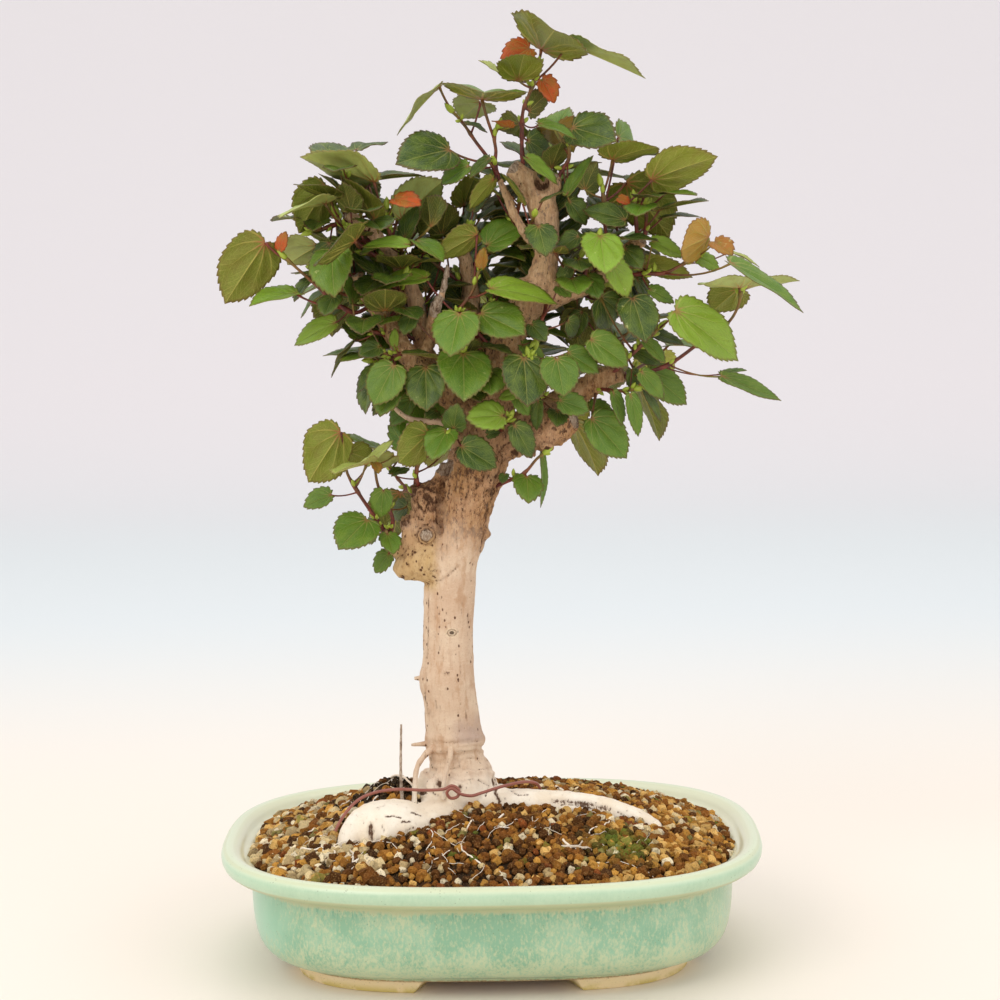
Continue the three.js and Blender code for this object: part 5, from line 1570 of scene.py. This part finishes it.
def finish_pot(pot, glaze, clay):
    """Adds the four feet and gives glaze and bare clay their faces."""
    pot.data.materials.clear()
    pot.data.materials.append(glaze)
    pot.data.materials.append(clay)
    for polygon in pot.data.polygons:
        polygon.material_index = int(polygon.center.z < (FOOT_HEIGHT + CLAY_ABOVE_FEET) / METRE)
    for corner in range(4):
        foot = build_foot(corner * math.pi / 2 + np.array(FOOT_TURNS[corner % 2]), clay)
        only(pot)
        foot.select_set(True)
        bpy.ops.object.join()
    only(pot)
    bpy.ops.object.shade_smooth_by_angle(angle=math.radians(POT_CREASE))
    return settle(pot, "glaze", "pot")


def foot_rows(outer, height, turns):
    """The outer and the inner edge of a foot, one after the other."""
    return metres(np.vstack([oval_row(FOOT_INSETS[edge], height, turns) for edge in (outer, "inner")]))


def build_foot(ends, clay):
    """One foot: a strip along the oval, drawn up from its sole, slanted at both ends and rounded."""
    bpy.ops.mesh.primitive_grid_add(x_subdivisions=FOOT_STEPS, y_subdivisions=1, size=START_SIZE / METRE)
    foot = bpy.context.object
    shares = np.linspace(0, 1, FOOT_STEPS + 1)
    turns = ends[0] + (ends[1] - ends[0]) * shares
    sole = foot_rows("under", 0, turns + FOOT_SLANT * (1 - 2 * shares))
    foot.data.vertices.foreach_set("co", sole.ravel())
    top_height = FOOT_HEIGHT + FOOT_BITE
    edit_whole()
    bpy.ops.mesh.extrude_region_move(TRANSFORM_OT_translate={"value": (0, 0, top_height / METRE)})
    bpy.ops.object.mode_set(mode="OBJECT")
    top = [vertex for vertex in foot.data.vertices if vertex.co.z > FOOT_HEIGHT / 2 / METRE]
    for vertex, place in zip(top, foot_rows("top", top_height, turns)):
        vertex.co = place
    end_with_faces_out()
    crease = math.radians(POT_CREASE)
    modify(foot, "BEVEL", width=FOOT_ROUNDING / METRE, segments=3, limit_method="ANGLE", angle_limit=crease)
    foot.data.materials.append(clay)
    return foot


def build_screen(finish, side, node):
    """A woven-looking plastic screen: a square plate pierced in a close grid."""
    height = FLOOR_HEIGHT + SCREEN_GAP + SCREEN_THICKNESS / 2
    bpy.ops.mesh.primitive_grid_add(
        x_subdivisions=SCREEN_BARS, y_subdivisions=SCREEN_BARS, size=SCREEN_SIZE / METRE,
        location=metres((side * DRAIN_OFFSET, 0, height)),
    )
    screen = bpy.context.object
    screen.name = f"mesh_{node}"
    bpy.ops.object.transform_apply(location=True)
    modify(screen, "WIREFRAME", thickness=SCREEN_THICKNESS / METRE, use_boundary=True, use_even_offset=False)
    screen.data.materials.append(finish)
    return settle(screen, "screen", node)


# Soil

# Colours of the soil's grains, and how often each turns up at the left, in the middle and at the right
GRAIN_KINDS = [
    ("84501c", 3, 9, 5), ("a06a28", 3, 7, 8), ("c48e3e", 4, 3.5, 9), ("e2b468", 5, 2, 7),
    ("5f3812", 3, 8, 3), ("472a10", 2.5, 3, 1.5), ("b89f72", 5, 0.8, 0.8), ("e0c896", 7, 1, 1.4),
    ("f6e6c2", 5, 1, 1.6), ("8e4c20", 0.5, 0.8, 0.6), ("8a8048", 2, 0.2, 0.6),
]
MOULD_SHADE = "2a1f12"
HEAP_HEIGHT = 16
BED_SHADE = "38281a"
GRAIN_SEED = 404
GRAIN_PITCH = 5.1
ROW_PITCH = GRAIN_PITCH * 0.87
# How far a grain strays from its place in the rows, as a share of their pitch
GRAIN_STRAY = 0.8
GRAIN_RADIUS = 1.6
GRAIN_SPREAD = 1.3
COARSE_EXTRA = 0.35
BIG_GRAINS_FROM = -70
BIG_GRAINS_OFTEN = 0.3
BIG_GRAIN_SCALE = 1.4
MOULD_FINENESS = 0.3
# For each direction, the least and what a draw adds to it
GRAIN_STRETCH = [(0.75, 0.5), (0.75, 0.5), (0.7, 0.4)]
GRAIN_ROUGHNESS = 0.4
GRAIN_REACH = 0.985
GRAIN_CREASE = 35
MOSSY_OFTEN = 0.012
BED_SIDES = 128
BED_RINGS = 40
BED_DROP = 1.2
# The pot's inner wall from its floor up: inset and height
POT_INNER = [(48, 18), (31.5, 36), (28, 66)]
WALL_GAP = 0.6
ROOTLET_SEED = 77
ROOTLET_STEP = 3
ROOTLET_REACH = 0.97
ROOTLET_LIFT = 2.4
# The least and what a draw adds to it
ROOTLET_LENGTH = (8, 24)
ROOTLET_PACE = 2
ROOTLET_SIDES = 5
END_DIP = 2

# Dark leaf mould beside the trunk, and the mossy patch: across, back, half width, half depth
MOULD_SPOT = [-70, 2, 28, 22]
MOSS_SPOT = [88, -78, 17, 15]

# Where fine rootlets lie: across, back, spread, how many
ROOTLET_SPOTS = [
    [-95, -78, 16, 14], [-66, -40, 22, 26], [-20, -96, 26, 12], [10, -60, 26, 10], [-104, -52, 14, 14],
    [-56, -14, 18, 6], [60, -86, 26, 8], [96, -40, 24, 6], [-112, -20, 20, 6], [30, 20, 30, 6],
    [-74, 0, 26, 12], [-100, -66, 8, 20],
]


def soil_height(share):
    """The height of the mound at a share of the way from its middle to its edge."""
    return SOIL_EDGE + (SOIL_TOP - SOIL_EDGE) * (1 - share ** 2)


def mound(across, back):
    """The height of the soil with its heap, and the share of the way to its edge."""
    share = (abs(across) / (RIM_LENGTH / 2 - SOIL_INSET)) ** OVAL_POWER
    share += (abs(back) / (RIM_DEPTH / 2 - SOIL_INSET)) ** OVAL_POWER
    share = share ** (1 / OVAL_POWER)
    return soil_height(share) + heap(across, back), share


def heap(across, back):
    """How far the mouldy heap behind the left root stands above the mound."""
    return HEAP_HEIGHT * within(MOULD_SPOT, across, back)


def build_grain():
    """The shape that every grain starts from: a cube rounded off."""
    bpy.ops.mesh.primitive_cube_add(size=2)
    edit_whole()
    bpy.ops.mesh.subdivide(number_cuts=1)
    bpy.ops.transform.tosphere(value=0.6)
    bpy.ops.object.mode_set(mode="OBJECT")
    grain = bpy.context.object
    points = np.array([vertex.co for vertex in grain.data.vertices])
    faces = [list(polygon.vertices) for polygon in grain.data.polygons]
    bpy.ops.object.delete()
    return points, faces


def drawn_vector(draw):
    return np.array([draw() - 0.5, draw() - 0.5, draw() - 0.5])


def turned(draw):
    """A random turn, as a matrix."""
    first = unit(drawn_vector(draw) + 1e-6)
    second = drawn_vector(draw)
    second = unit(second - first * first.dot(second))
    return np.array([first, second, np.cross(first, second)])


def within(spot, across, back):
    """1 in the middle of a patch, falling off to 0 outside."""
    x, y, wide, deep = spot
    return math.exp(-((across - x) / wide) ** 2 - ((back - y) / deep) ** 2)


def grain_kind(draw, across, back):
    """The colour drawn for a grain, by how often each turns up there."""
    if draw() < within(MOULD_SPOT, across, back):
        return MOULD_SHADE
    side = limited((across - 20) / 110)
    left = limited((-across - 40) / 80)
    weights = [low * left + high * side + middle * (1 - left) * (1 - side)
               for _, low, middle, high in GRAIN_KINDS]
    reach = draw() * sum(weights)
    for (code, *_), weight in zip(GRAIN_KINDS, weights):
        reach -= weight
        if reach <= 0:
            break
    return code


def wood_tree(wood):
    """The wood's skin in millimetres, for finding what lies near it."""
    return BVHTree.FromPolygons(
        [Vector(place) for place in places_of(wood)],
        [polygon.vertices[:] for polygon in wood.data.polygons],
    )


def clear_of(tree, place, gap):
    """Whether a place is outside the wood and more than a gap away from it."""
    near, outward, _, gone = tree.find_nearest(Vector(place))
    return gone > gap and (Vector(place) - near).dot(outward) > 0


def grain_size(draw, across, back):
    """A grain's radius: coarser at both sides, with big ones at the far left, and finer in the mould."""
    coarse = COARSE_EXTRA * limited((abs(across + 20) - 30) / 60)
    size = GRAIN_RADIUS + GRAIN_SPREAD * draw() ** 2 + coarse
    if across < BIG_GRAINS_FROM and draw() < BIG_GRAINS_OFTEN:
        size *= BIG_GRAIN_SCALE
    return size * (1 - MOULD_FINENESS * within(MOULD_SPOT, across, back))


def add_grain(grains, draw, shape, faces, place, size):
    """One grain: the rounded cube roughened, stretched and turned at random, in a colour of its place."""
    across, back, _ = place
    stretch = np.array([least + more * draw() for least, more in GRAIN_STRETCH]) * size
    rough = 1 + GRAIN_ROUGHNESS * (np.array([draw() for _ in shape]) - 0.5)
    points = shape * rough[:, None] * stretch @ turned(draw) + place
    colour = np.array(shade(grain_kind(draw, across, back)))
    tone = tuple(colour * (0.7 + 0.5 * draw()))
    moss = 1.4 * within(MOSS_SPOT, across, back) + (0.8 if draw() < MOSSY_OFTEN else 0)
    grains.add(points, faces, tone=tone, moss=moss)


def build_grains(earth, tree):
    """Loose grains of many colours all over the mound, none inside the wood."""
    draw = dice(GRAIN_SEED)
    shape, faces = build_grain()
    grains = Skin(tone=(0.0, 0.0, 0.0), moss=0.0)
    columns = int((RIM_LENGTH - 2 * SOIL_INSET) / GRAIN_PITCH)
    rows = int((RIM_DEPTH - 2 * SOIL_INSET) / ROW_PITCH)
    for row in range(rows + 1):
        for column in range(columns + 1):
            across = (column - columns / 2 + 0.5 * (row % 2) + GRAIN_STRAY * (draw() - 0.5)) * GRAIN_PITCH
            back = (row - rows / 2 + GRAIN_STRAY * (draw() - 0.5)) * ROW_PITCH
            height, share = mound(across, back)
            if share > GRAIN_REACH:
                continue
            size = grain_size(draw, across, back)
            place = np.array([across, back, height + 0.6 + 1.6 * (draw() - 0.5)])
            if clear_of(tree, place, size * 0.8):
                add_grain(grains, draw, shape, faces, place, size)
    piece = grains.piece("soil_grains", earth)
    only(piece)
    bpy.ops.object.shade_smooth_by_angle(angle=math.radians(GRAIN_CREASE))
    return settle(piece, "soil", "soil")


def build_bed(earth):
    """The fine mound under the loose grains, from the pot's inner wall to the crown of the soil."""
    bed = Skin(tone=shade(BED_SHADE), moss=0.0)
    turns = even_turns(BED_SIDES)
    rings = [oval_row(inset + WALL_GAP, height, turns) for inset, height in POT_INNER]
    edge = oval_row(SOIL_INSET, SOIL_EDGE, turns)[:, :2]
    for share in np.linspace(1, 0.004, BED_RINGS):
        rings.append(np.column_stack([edge * share, np.full(BED_SIDES, soil_height(share) - BED_DROP)]))
    points = np.vstack(rings)
    top = points[len(POT_INNER) * BED_SIDES:]
    top[:, 2] += 1.6 * murmur(top, 4, 4, 4)
    top[:, 2] += [heap(across, back) for across, back, _ in top]
    under, crown = list(range(BED_SIDES))[::-1], list(range(len(points) - BED_SIDES, len(points)))
    bed.add(points, [under, *ring_faces(len(rings), BED_SIDES), crown])
    return settle(bed.piece("soil_bed", earth), "soil", "soil")


def creep(draw, tree, across, back, heading, length):
    """A thin root's path over the grains, wandering as it goes."""
    path = []
    for _ in range(int(length / ROOTLET_STEP) + 2):
        height, share = mound(across, back)
        place = np.array([across, back, height + ROOTLET_LIFT + 0.9 * draw()])
        if share > ROOTLET_REACH or not clear_of(tree, place, 0.2):
            break
        path.append(place)
        heading += 0.9 * (draw() - 0.5)
        across += ROOTLET_STEP * math.cos(heading)
        back += ROOTLET_STEP * math.sin(heading)
    return path


def build_rootlets(finish, tree):
    """Fine pale rootlets that lie over the soil round the roots and in front of the trunk."""
    draw = dice(ROOTLET_SEED)
    skin = Skin(**BARK_LOOKS)
    for across, back, spread, count in ROOTLET_SPOTS:
        for _ in range(count):
            start = (across + spread * (draw() - 0.5) * 2, back + spread * (draw() - 0.5) * 1.2)
            heading = draw() * 2 * math.pi
            length = ROOTLET_LENGTH[0] + ROOTLET_LENGTH[1] * draw()
            path = creep(draw, tree, *start, heading, length)
            if len(path) > 3:
                path[0][2] -= END_DIP
                path[-1][2] -= END_DIP
                row = smooth_path(path, ROOTLET_PACE)
                radius = 0.2 + 0.9 * draw() ** 4
                skin.add_tube(row, np.full(len(row), radius), ROOTLET_SIDES, grey=0.55 * draw())
    return settle(skin.piece("fine_rootlets", finish), "soil", "soil")


# Finishes: lengths in millimetres, heights from the ground, noise and marks from 0 to 1

# Heights on the pot and on the bark, as bands or as where a change starts and ends
LIP_EDGE = (84.4, 85.6, 86.2, 86.7)
DRIPS = (56, 64, 67, 70)
GROOVE = (12.6, 13.8, 14.8, 16.4)
FOOT_LINE = (11.6, 9.8)
STAIN = (150, 156, 164, 174)
BURL = (256, 266, 298, 306)
ROOT_SHADE = (150, 124)
DOTS_FROM = (118, 126)
CROWN_FROM = (378, 415)
SIDE_VEIN_PITCH = 0.066
NET_CELLS = 24
# Name, roughness, size of the patches and two shades
SCREEN_FINISH = ("dark_plastic", 0.5, 8, "25302b", "303b35")
WIRE_FINISH = ("coated_wire", 0.35, 6, "83453b", "a86a58")


def paint_glaze():
    """Mint-green glaze, flecked cream, with a cream break under the lip and on its edges."""
    paint = Paint("mint_glaze", Roughness=0.3, Coat_Weight=0.3, Coat_Roughness=0.15)
    across, _, up = paint.measures()
    even = paint.place()
    inner = paint.attribute("inner")
    broad = paint.noise(even, 24, 2)
    fleck = paint.noise(paint.place((1, 1, 0.5)), 1.9, 5, 0.7)
    fine = paint.noise(even, 1.3, 3, 0.7)
    drip = paint.noise(paint.place((1, 1, 0.07)), 1.9, 2)
    plain = across.step(-125, -168) * up.step(8, 20)
    amount = (broad - 0.5) * 0.9 + up.step(48, 18) * 0.4 + 0.2 - plain * 0.6
    cream = (fleck + amount * 0.32 + fine * 0.08).step(0.54, 0.8)
    under_lip = (up + broad * 5 + fleck * 5).step(68, 72) * up.step(76.5, 75)
    cream = cream * (1 - up.step(67, 70)) + under_lip + up.band(*LIP_EDGE) * 0.6
    cream = (cream * (1 - inner * 0.6)).clamped()
    streak = drip.step(0.52, 0.66) * up.band(*DRIPS) * (1 - plain)
    speck = paint.cells(even, 2.6).step(0.2, 0.1) * paint.noise(even, 9, 2).step(0.52, 0.62)
    tint = paint.coats(
        paint.mix(broad.step(0.35, 0.65), "88b697", "9ac3a5"),
        (plain, "9ccbb0"),
        (streak * 0.6, "5f9f86"),
        (up.step(71, 77) * (0.35 + fleck * 0.6), "c6dcbe"),
        (up.step(82, 86.5) * 0.9, "dfe8c8"),
        (inner, "e2e6c9"),
        (inner * up.step(82, 74) * (0.5 + broad * 0.6), "dcd3b4"),
        # The right end painted lighter and creamier: partly the glaze's cream, partly painted light over the
        # shade on that end
        (across.step(120, 185) * up.step(80, 70) * 0.5, "c3d2ae"),
        (cream * 0.72, "cdd2aa"),
        (under_lip * 0.6, "b4b58a"),
        (speck * 0.5 * (1 - inner), "69704c"),
        (up.band(*GROOVE) * 0.55, "6f9673"),
        (up.step(*FOOT_LINE) * paint.noise(even, 3, 3).step(0.34, 0.6), "a07c48"),
    )
    paint.feed("Roughness", cream * 0.16 + 0.28)
    paint.bump(cream * 0.5 + fine * 0.4, 0.25)
    return paint.finished(tint)


def paint_clay():
    """Bare buff clay of the feet, stained yellow-green low down."""
    paint = Paint("bare_clay", Roughness=0.8)
    _, _, up = paint.measures()
    even = paint.place()
    grain = paint.noise(even, 1.4, 4, 0.7)
    patch = paint.noise(even, 14, 3)
    paint.bump(grain, 0.3)
    return paint.finished(paint.coats(
        paint.mix(patch, "f4dba6", "fae8c6"),
        (up.step(7, 0) * patch.step(0.36, 0.56) * 0.75, "cfba4e"),
        (up.step(7.4, 9.4) * grain.step(0.35, 0.6), "94683b"),
        (grain.step(0.6, 0.7) * 0.5, "85633a"),
    ))


def paint_bark():
    """Pale tan bark with fine cracks and rows of dots, rougher and browner above, creamy at the foot, with
    painted highlight and shade on the rough bark's flakes and pits, painted light on the limbs in the crown
    and painted shadow in the cleft by the stump.
    """
    paint = Paint("pale_bark", Roughness=0.75, Specular_IOR_Level=0.3)
    across, _, up = paint.measures()
    even = paint.place()
    tall = paint.place((1, 1, 0.14))
    dark = paint.attribute("dark")
    rough = paint.attribute("rough")
    patch = paint.noise(even, 24, 3)
    streak = paint.noise(tall, 3.4, 4, 0.6)
    grain = paint.noise(even, 1.3, 4, 0.7)
    weave = paint.noise(paint.place((0.3, 0.3, 1)), 1.7, 3, 0.6)
    mottle = paint.noise(paint.place((1, 1, 0.4)), 9, 5, 0.65)
    crumb = paint.noise(paint.place((1, 1, 0.5)), 3, 6, 0.75)
    flake = paint.noise(paint.place((1, 1, 0.3)), 1.6, 4, 0.7)
    pits_and_painted_shade = crumb + (patch - 0.5) * 0.3
    burl = across.step(-31, -40) * up.band(*BURL)
    crown = up.step(*CROWN_FROM)
    pale = paint.coats(
        paint.mix(patch.step(0.3, 0.7), "d3b498", "e2cab0"),
        (streak.step(0.5, 0.72) * 0.45, "bd9474"),
        (grain.step(0.5, 0.74) * 0.4, "b08869"),
        (weave.step(0.42, 0.3) * 0.3, "ecd8c0"),
        (mottle.step(0.5, 0.66) * 0.5, "b78a64"),
        (burl * 0.75, "c8a870"),
        (burl * crumb.step(0.5, 0.4) * 0.5, "9c7446"),
    )
    # Bark of the limbs in the crown: weathered, and painted lighter as painted light where the leaves shade
    # it; its crumbs are painted lighter and darker with the relief, as painted highlight and shade
    weathered_and_painted_light = paint.coats(
        paint.mix(streak.step(0.4, 0.62), "e2b780", "b07f4e"),
        (patch.step(0.5, 0.64) * 0.6, "a0683a"),
        (crumb.step(0.52, 0.64) * 0.8, "efd3a4"),
        (crumb.step(0.45, 0.37), "5e3a20"),
    )
    # Rough bark: flakes painted lighter and pits darker where the relief stands up and sinks in, partly the
    # bark's own mottling and partly painted highlight and painted shade
    coarse = paint.coats(
        paint.mix(patch.step(0.35, 0.65), "b5844f", "cc9f78"),
        (flake.step(0.52, 0.66) * 0.75, "dcb68a"),
        (flake.step(0.46, 0.34) * 0.6, "935f36"),
        (pits_and_painted_shade.step(0.5, 0.42) * 0.85, "7a4c2a"),
        (pits_and_painted_shade.step(0.44, 0.38) * 0.9, "442a1a"),
        (crown * 0.75, weathered_and_painted_light),
    )
    root = paint.mix(patch.step(0.3, 0.65), "f4e4cc", "fff6e6")
    root = paint.mix(grain.step(0.55, 0.75) * 0.35, root, "cfb391")
    wither = paint.mix(flake.step(0.42, 0.58), "8c7866", "bcac9b")
    wither = paint.mix(crumb.step(0.5, 0.4), wither, "5a4636")
    crack = (paint.noise(tall, 2.3, 3, 0.7) - 0.5).step(0.15, 0.21)
    lines = paint.noise(paint.place((1, 1, 0.015)), 6, 2).step(0.49, 0.58)
    where = (lines + burl + rough * (0.7 - crown * 0.6)).clamped() * up.step(*DOTS_FROM)
    dots = paint.cells(paint.place((1, 1, 0.7)), 3.6).step(0.25, 0.14) * where
    stain = up.band(*STAIN) * across.step(-32, -16) * patch.step(0.3, 0.55)
    mark = (dark + (flake - 0.5) * 1.6 + (crumb - 0.5)).step(0.32, 0.62)
    eye = ((across - EYE_SCAR[0]) ** 2 + ((up - EYE_SCAR[1]) * 1.35) ** 2) ** 0.5 + (grain - 0.5) * 2.4
    eye = eye + paint.attribute("front").step(0.9, 0.1) * 20
    tint = paint.coats(
        pale,
        ((rough * 1.1 + (patch - 0.5) * rough * 0.6).clamped() * 0.9, coarse),
        ((up + patch * 20).step(*ROOT_SHADE), root),
        (crack * (rough * 0.3 + 0.35), "7d4a33"),
        (dots * 0.94, "5e3a24"),
        (stain * 0.45, "a08684"),
        ((paint.attribute("grey") + (crumb - 0.5) * 0.8).step(0.3, 0.7) * 0.85, wither),
        # Dark marks, with the painted shadow in the cleft between the stump and the trunk
        (dark * 0.5, "80573a"),
        (mark * 0.96, "553722"),
        (eye.step(5.4, 3.6) * 0.6, "ead6b8"),
        (eye.band(2.2, 2.9, 3.2, 3.9) * 0.7, "7a5840"),
        (eye.step(1.8, 1.2) * 0.9, "4a3424"),
    )
    relief = grain * (rough + 0.5) + streak * 0.5 + (crumb + flake) * (rough + 0.15) * 1.8
    relief = relief - crack * 0.6 - dots * 0.5
    paint.bump(relief - eye.step(2, 1.2) * 1.5, 0.8)
    return paint.finished(tint)


def paint_leaf(name, top):
    """Blade finish from its own measures: finger-like ribs from the stalk, side veins and a fine net."""
    paint = Paint(name, Roughness=0.4 if top else 0.55)
    across, along, _ = paint.parts(paint.node("ShaderNodeUVMap", {"uv_map": "Blade"}, {}))
    across = across - 0.5
    reach = (across * across + along * along) ** 0.5
    turn = across.sum("ARCTAN2", along).sum("ABSOLUTE") / (1 - reach * RIB_BEND)
    gap = turn.sum("PINGPONG", RIB_SPREAD / 2)
    main = turn.step(0.4, 0.3)
    fade = (1 - reach * (1.5 - main)).clamped() ** 0.5
    rib = (gap * reach / (0.005 + fade * 0.011)).step(1.3, 0.6) * fade
    even = paint.place()
    sway = (paint.noise(even, 8, 2) - 0.5) * 0.035
    side_gap = (reach - gap * (0.75 + main * 0.1) + sway).sum("PINGPONG", SIDE_VEIN_PITCH)
    side = side_gap.step(0.0095, 0.002) * reach.step(0.1, 0.2)
    grid = paint.node("ShaderNodeCombineXYZ", {}, {0: across * NET_CELLS, 1: along * NET_CELLS})
    net = paint.cells(grid, 1, "DISTANCE_TO_EDGE").step(0.12, 0.02)
    blade = paint.attribute("leaf_colour", "Color")
    patch = paint.noise(even, 9, 3)
    if top:
        blotch = paint.noise(even, 2.4, 3, 0.6)
        worn = paint.noise(even, 5, 5, 0.72).step(0.63, 0.68) * paint.noise(even, 30, 1).step(0.5, 0.6)
        rows = [
            (patch.step(0.4, 0.7) * 0.35, "7f942c"),
            (blotch.step(0.56, 0.75) * 0.35, "2f4f12"),
            (worn * 0.6, "d3d68c"),
            (net * 0.13, "a9b94c"),
            (side * 0.3, "b4c05a"),
            (rib * 0.45, "b9bd68"),
            (rib * reach.step(0.22, 0.02) * 0.6, "94422e"),
        ]
    else:
        rows = [
            (patch.step(0.4, 0.7) * 0.3, "80602a"),
            (net * 0.25, "aab04e"),
            (side * 0.52, "c9c464"),
            (rib * 0.75, "c8bc5e"),
            (rib * reach.step(0.3, 0.05) * 0.8, "9c4a30"),
        ]
    relief = rib + side * 0.6 + net * 0.25
    paint.bump(1 - relief if top else relief, 0.3)
    return paint.finished(paint.coats(blade, *rows, (paint.attribute("rim").step(0.6, 1) * 0.5, "6e3326")))


def paint_stem():
    """Red-brown stems and stalks, green where they are fresh."""
    paint = Paint("young_stem", Roughness=0.5)
    tint = paint.mix(paint.noise(paint.place(), 4, 3).step(0.35, 0.65), "54211d", "7d3526")
    return paint.finished(paint.mix(paint.attribute("fresh"), tint, "a3b53c"))


def paint_earth():
    """Soil grains, each its own colour, finely pitted, with light dust that is partly a painted highlight,
    painted shade in soft patches and fine dark specks, some mossy on top.
    """
    paint = Paint("bonsai_soil", Roughness=0.9, Specular_IOR_Level=0.2)
    even = paint.place()
    dust_and_painted_light = paint.noise(even, 1.1, 3, 0.7)
    patch = paint.noise(even, 3.5, 2)
    green = paint.noise(even, 4, 3, 0.6).step(0.36, 0.5) * (dust_and_painted_light.step(0.36, 0.5) * 0.6 + 0.4)
    paint.bump(dust_and_painted_light + patch * 0.5, 0.8)
    return paint.finished(paint.coats(
        paint.attribute("tone", "Color"),
        # Light dust on the grains, partly a painted highlight
        (dust_and_painted_light.step(0.52, 0.72) * 0.35, "e6bd7c"),
        # Painted shade: soft dark patches and fine dark specks on the grains
        (patch.step(0.5, 0.7) * 0.45, "3a2009"),
        (dust_and_painted_light.step(0.46, 0.34) * 0.5, "2a1606"),
        ((paint.attribute("moss") * green).clamped() * 0.85, "66782a"),
    ))


def paint_plain(name, roughness, size, first, second):
    """A finish of two shades in soft patches."""
    paint = Paint(name, Roughness=roughness)
    return paint.finished(paint.mix(paint.noise(paint.place(), size), first, second))


# Floor, light and camera

# Name, place in metres, size, power and colour
LAMPS = [
    ("soft_key", (-1.5, -1.9, 2.0), 1.8, 24, "fffaf2"),
    ("soft_fill", (1.9, -1.7, 1.4), 2.0, 10, "f6faff"),
    ("soft_top", (0.1, 0.3, 2.6), 2.2, 15, "ffffff"),
]
LAMP_AIM = Vector((0, 0, 0.3))
ROOM_SHADE = "f7f5f4"
ROOM_STRENGTH = 0.92
LENS = 77.7
SENSOR = 36
PITCH = 6.659
ROLL = -0.84
FLOOR_REACH = 9
WALL_START = 2.6
WALL_BEND = 2.4


def build_floor():
    """A plain pale floor that turns up softly into a wall far behind."""
    bpy.ops.mesh.primitive_grid_add(x_subdivisions=1, y_subdivisions=120, size=2)
    floor = bpy.context.object
    floor.name = "pale_floor"
    for vertex in floor.data.vertices:
        gone = vertex.co.y * FLOOR_REACH - WALL_START
        turn = limited(gone / WALL_BEND, 0, math.pi / 2)
        straight = max(gone - WALL_BEND * math.pi / 2, 0)
        back = WALL_START + min(gone, 0) + WALL_BEND * math.sin(turn)
        vertex.co = Vector((vertex.co.x * FLOOR_REACH, back, WALL_BEND * (1 - math.cos(turn)) + straight))
    bpy.ops.object.shade_smooth()
    paint = Paint("pale_paper", Roughness=0.9)
    _, back, _ = paint.measures()
    tint = paint.mix(back.step(250, 1500), "f6ede2", "e6edf0")
    floor.data.materials.append(paint.finished(paint.mix(back.step(1900, 3600), tint, "f3eff2")))


def add_light(name, place, size, power, colour):
    bpy.ops.object.light_add(type="AREA", location=place)
    lamp = bpy.context.object
    lamp.name = name
    lamp.data.size = size
    lamp.data.energy = power
    lamp.data.color = shade(colour)
    lamp.rotation_euler = (LAMP_AIM - Vector(place)).to_track_quat("-Z", "Y").to_euler()


def light_room():
    """Soft light from all sides."""
    world = bpy.data.worlds.new("pale_room")
    world.use_nodes = True
    glow = world.node_tree.nodes["Background"]
    glow.inputs["Color"].default_value = (*shade(ROOM_SHADE), 1)
    glow.inputs["Strength"].default_value = ROOM_STRENGTH
    bpy.context.scene.world = world
    bpy.context.scene.view_settings.view_transform = "Standard"


def place_camera():
    bpy.ops.object.camera_add(location=metres(EYE))
    camera = bpy.context.object
    camera.data.sensor_width = SENSOR
    camera.data.lens = LENS
    camera.rotation_mode = "XYZ"
    tilt = Matrix.Rotation(math.radians(90 - PITCH), 3, "X")
    camera.rotation_euler = (tilt @ Matrix.Rotation(math.radians(ROLL), 3, "Z")).to_euler()
    bpy.context.scene.camera = camera


# The whole tree, then the stage

bark = paint_bark()
earth = paint_earth()
plastic = paint_plain(*SCREEN_FINISH)

build_shoots(paint_leaf("leaf_upper_side", True), paint_leaf("leaf_under_side", False), paint_stem())
wood = build_wood(bark)
build_wire(paint_plain(*WIRE_FINISH))
finish_pot(build_pot(), paint_glaze(), paint_clay())
build_screen(plastic, -1, "drain_screen_left")
build_screen(plastic, 1, "drain_screen_right")
skin_tree = wood_tree(wood)
build_bed(earth)
build_grains(earth, skin_tree)
build_rootlets(bark, skin_tree)

build_floor()
for lamp in LAMPS:
    add_light(*lamp)
light_room()
place_camera()
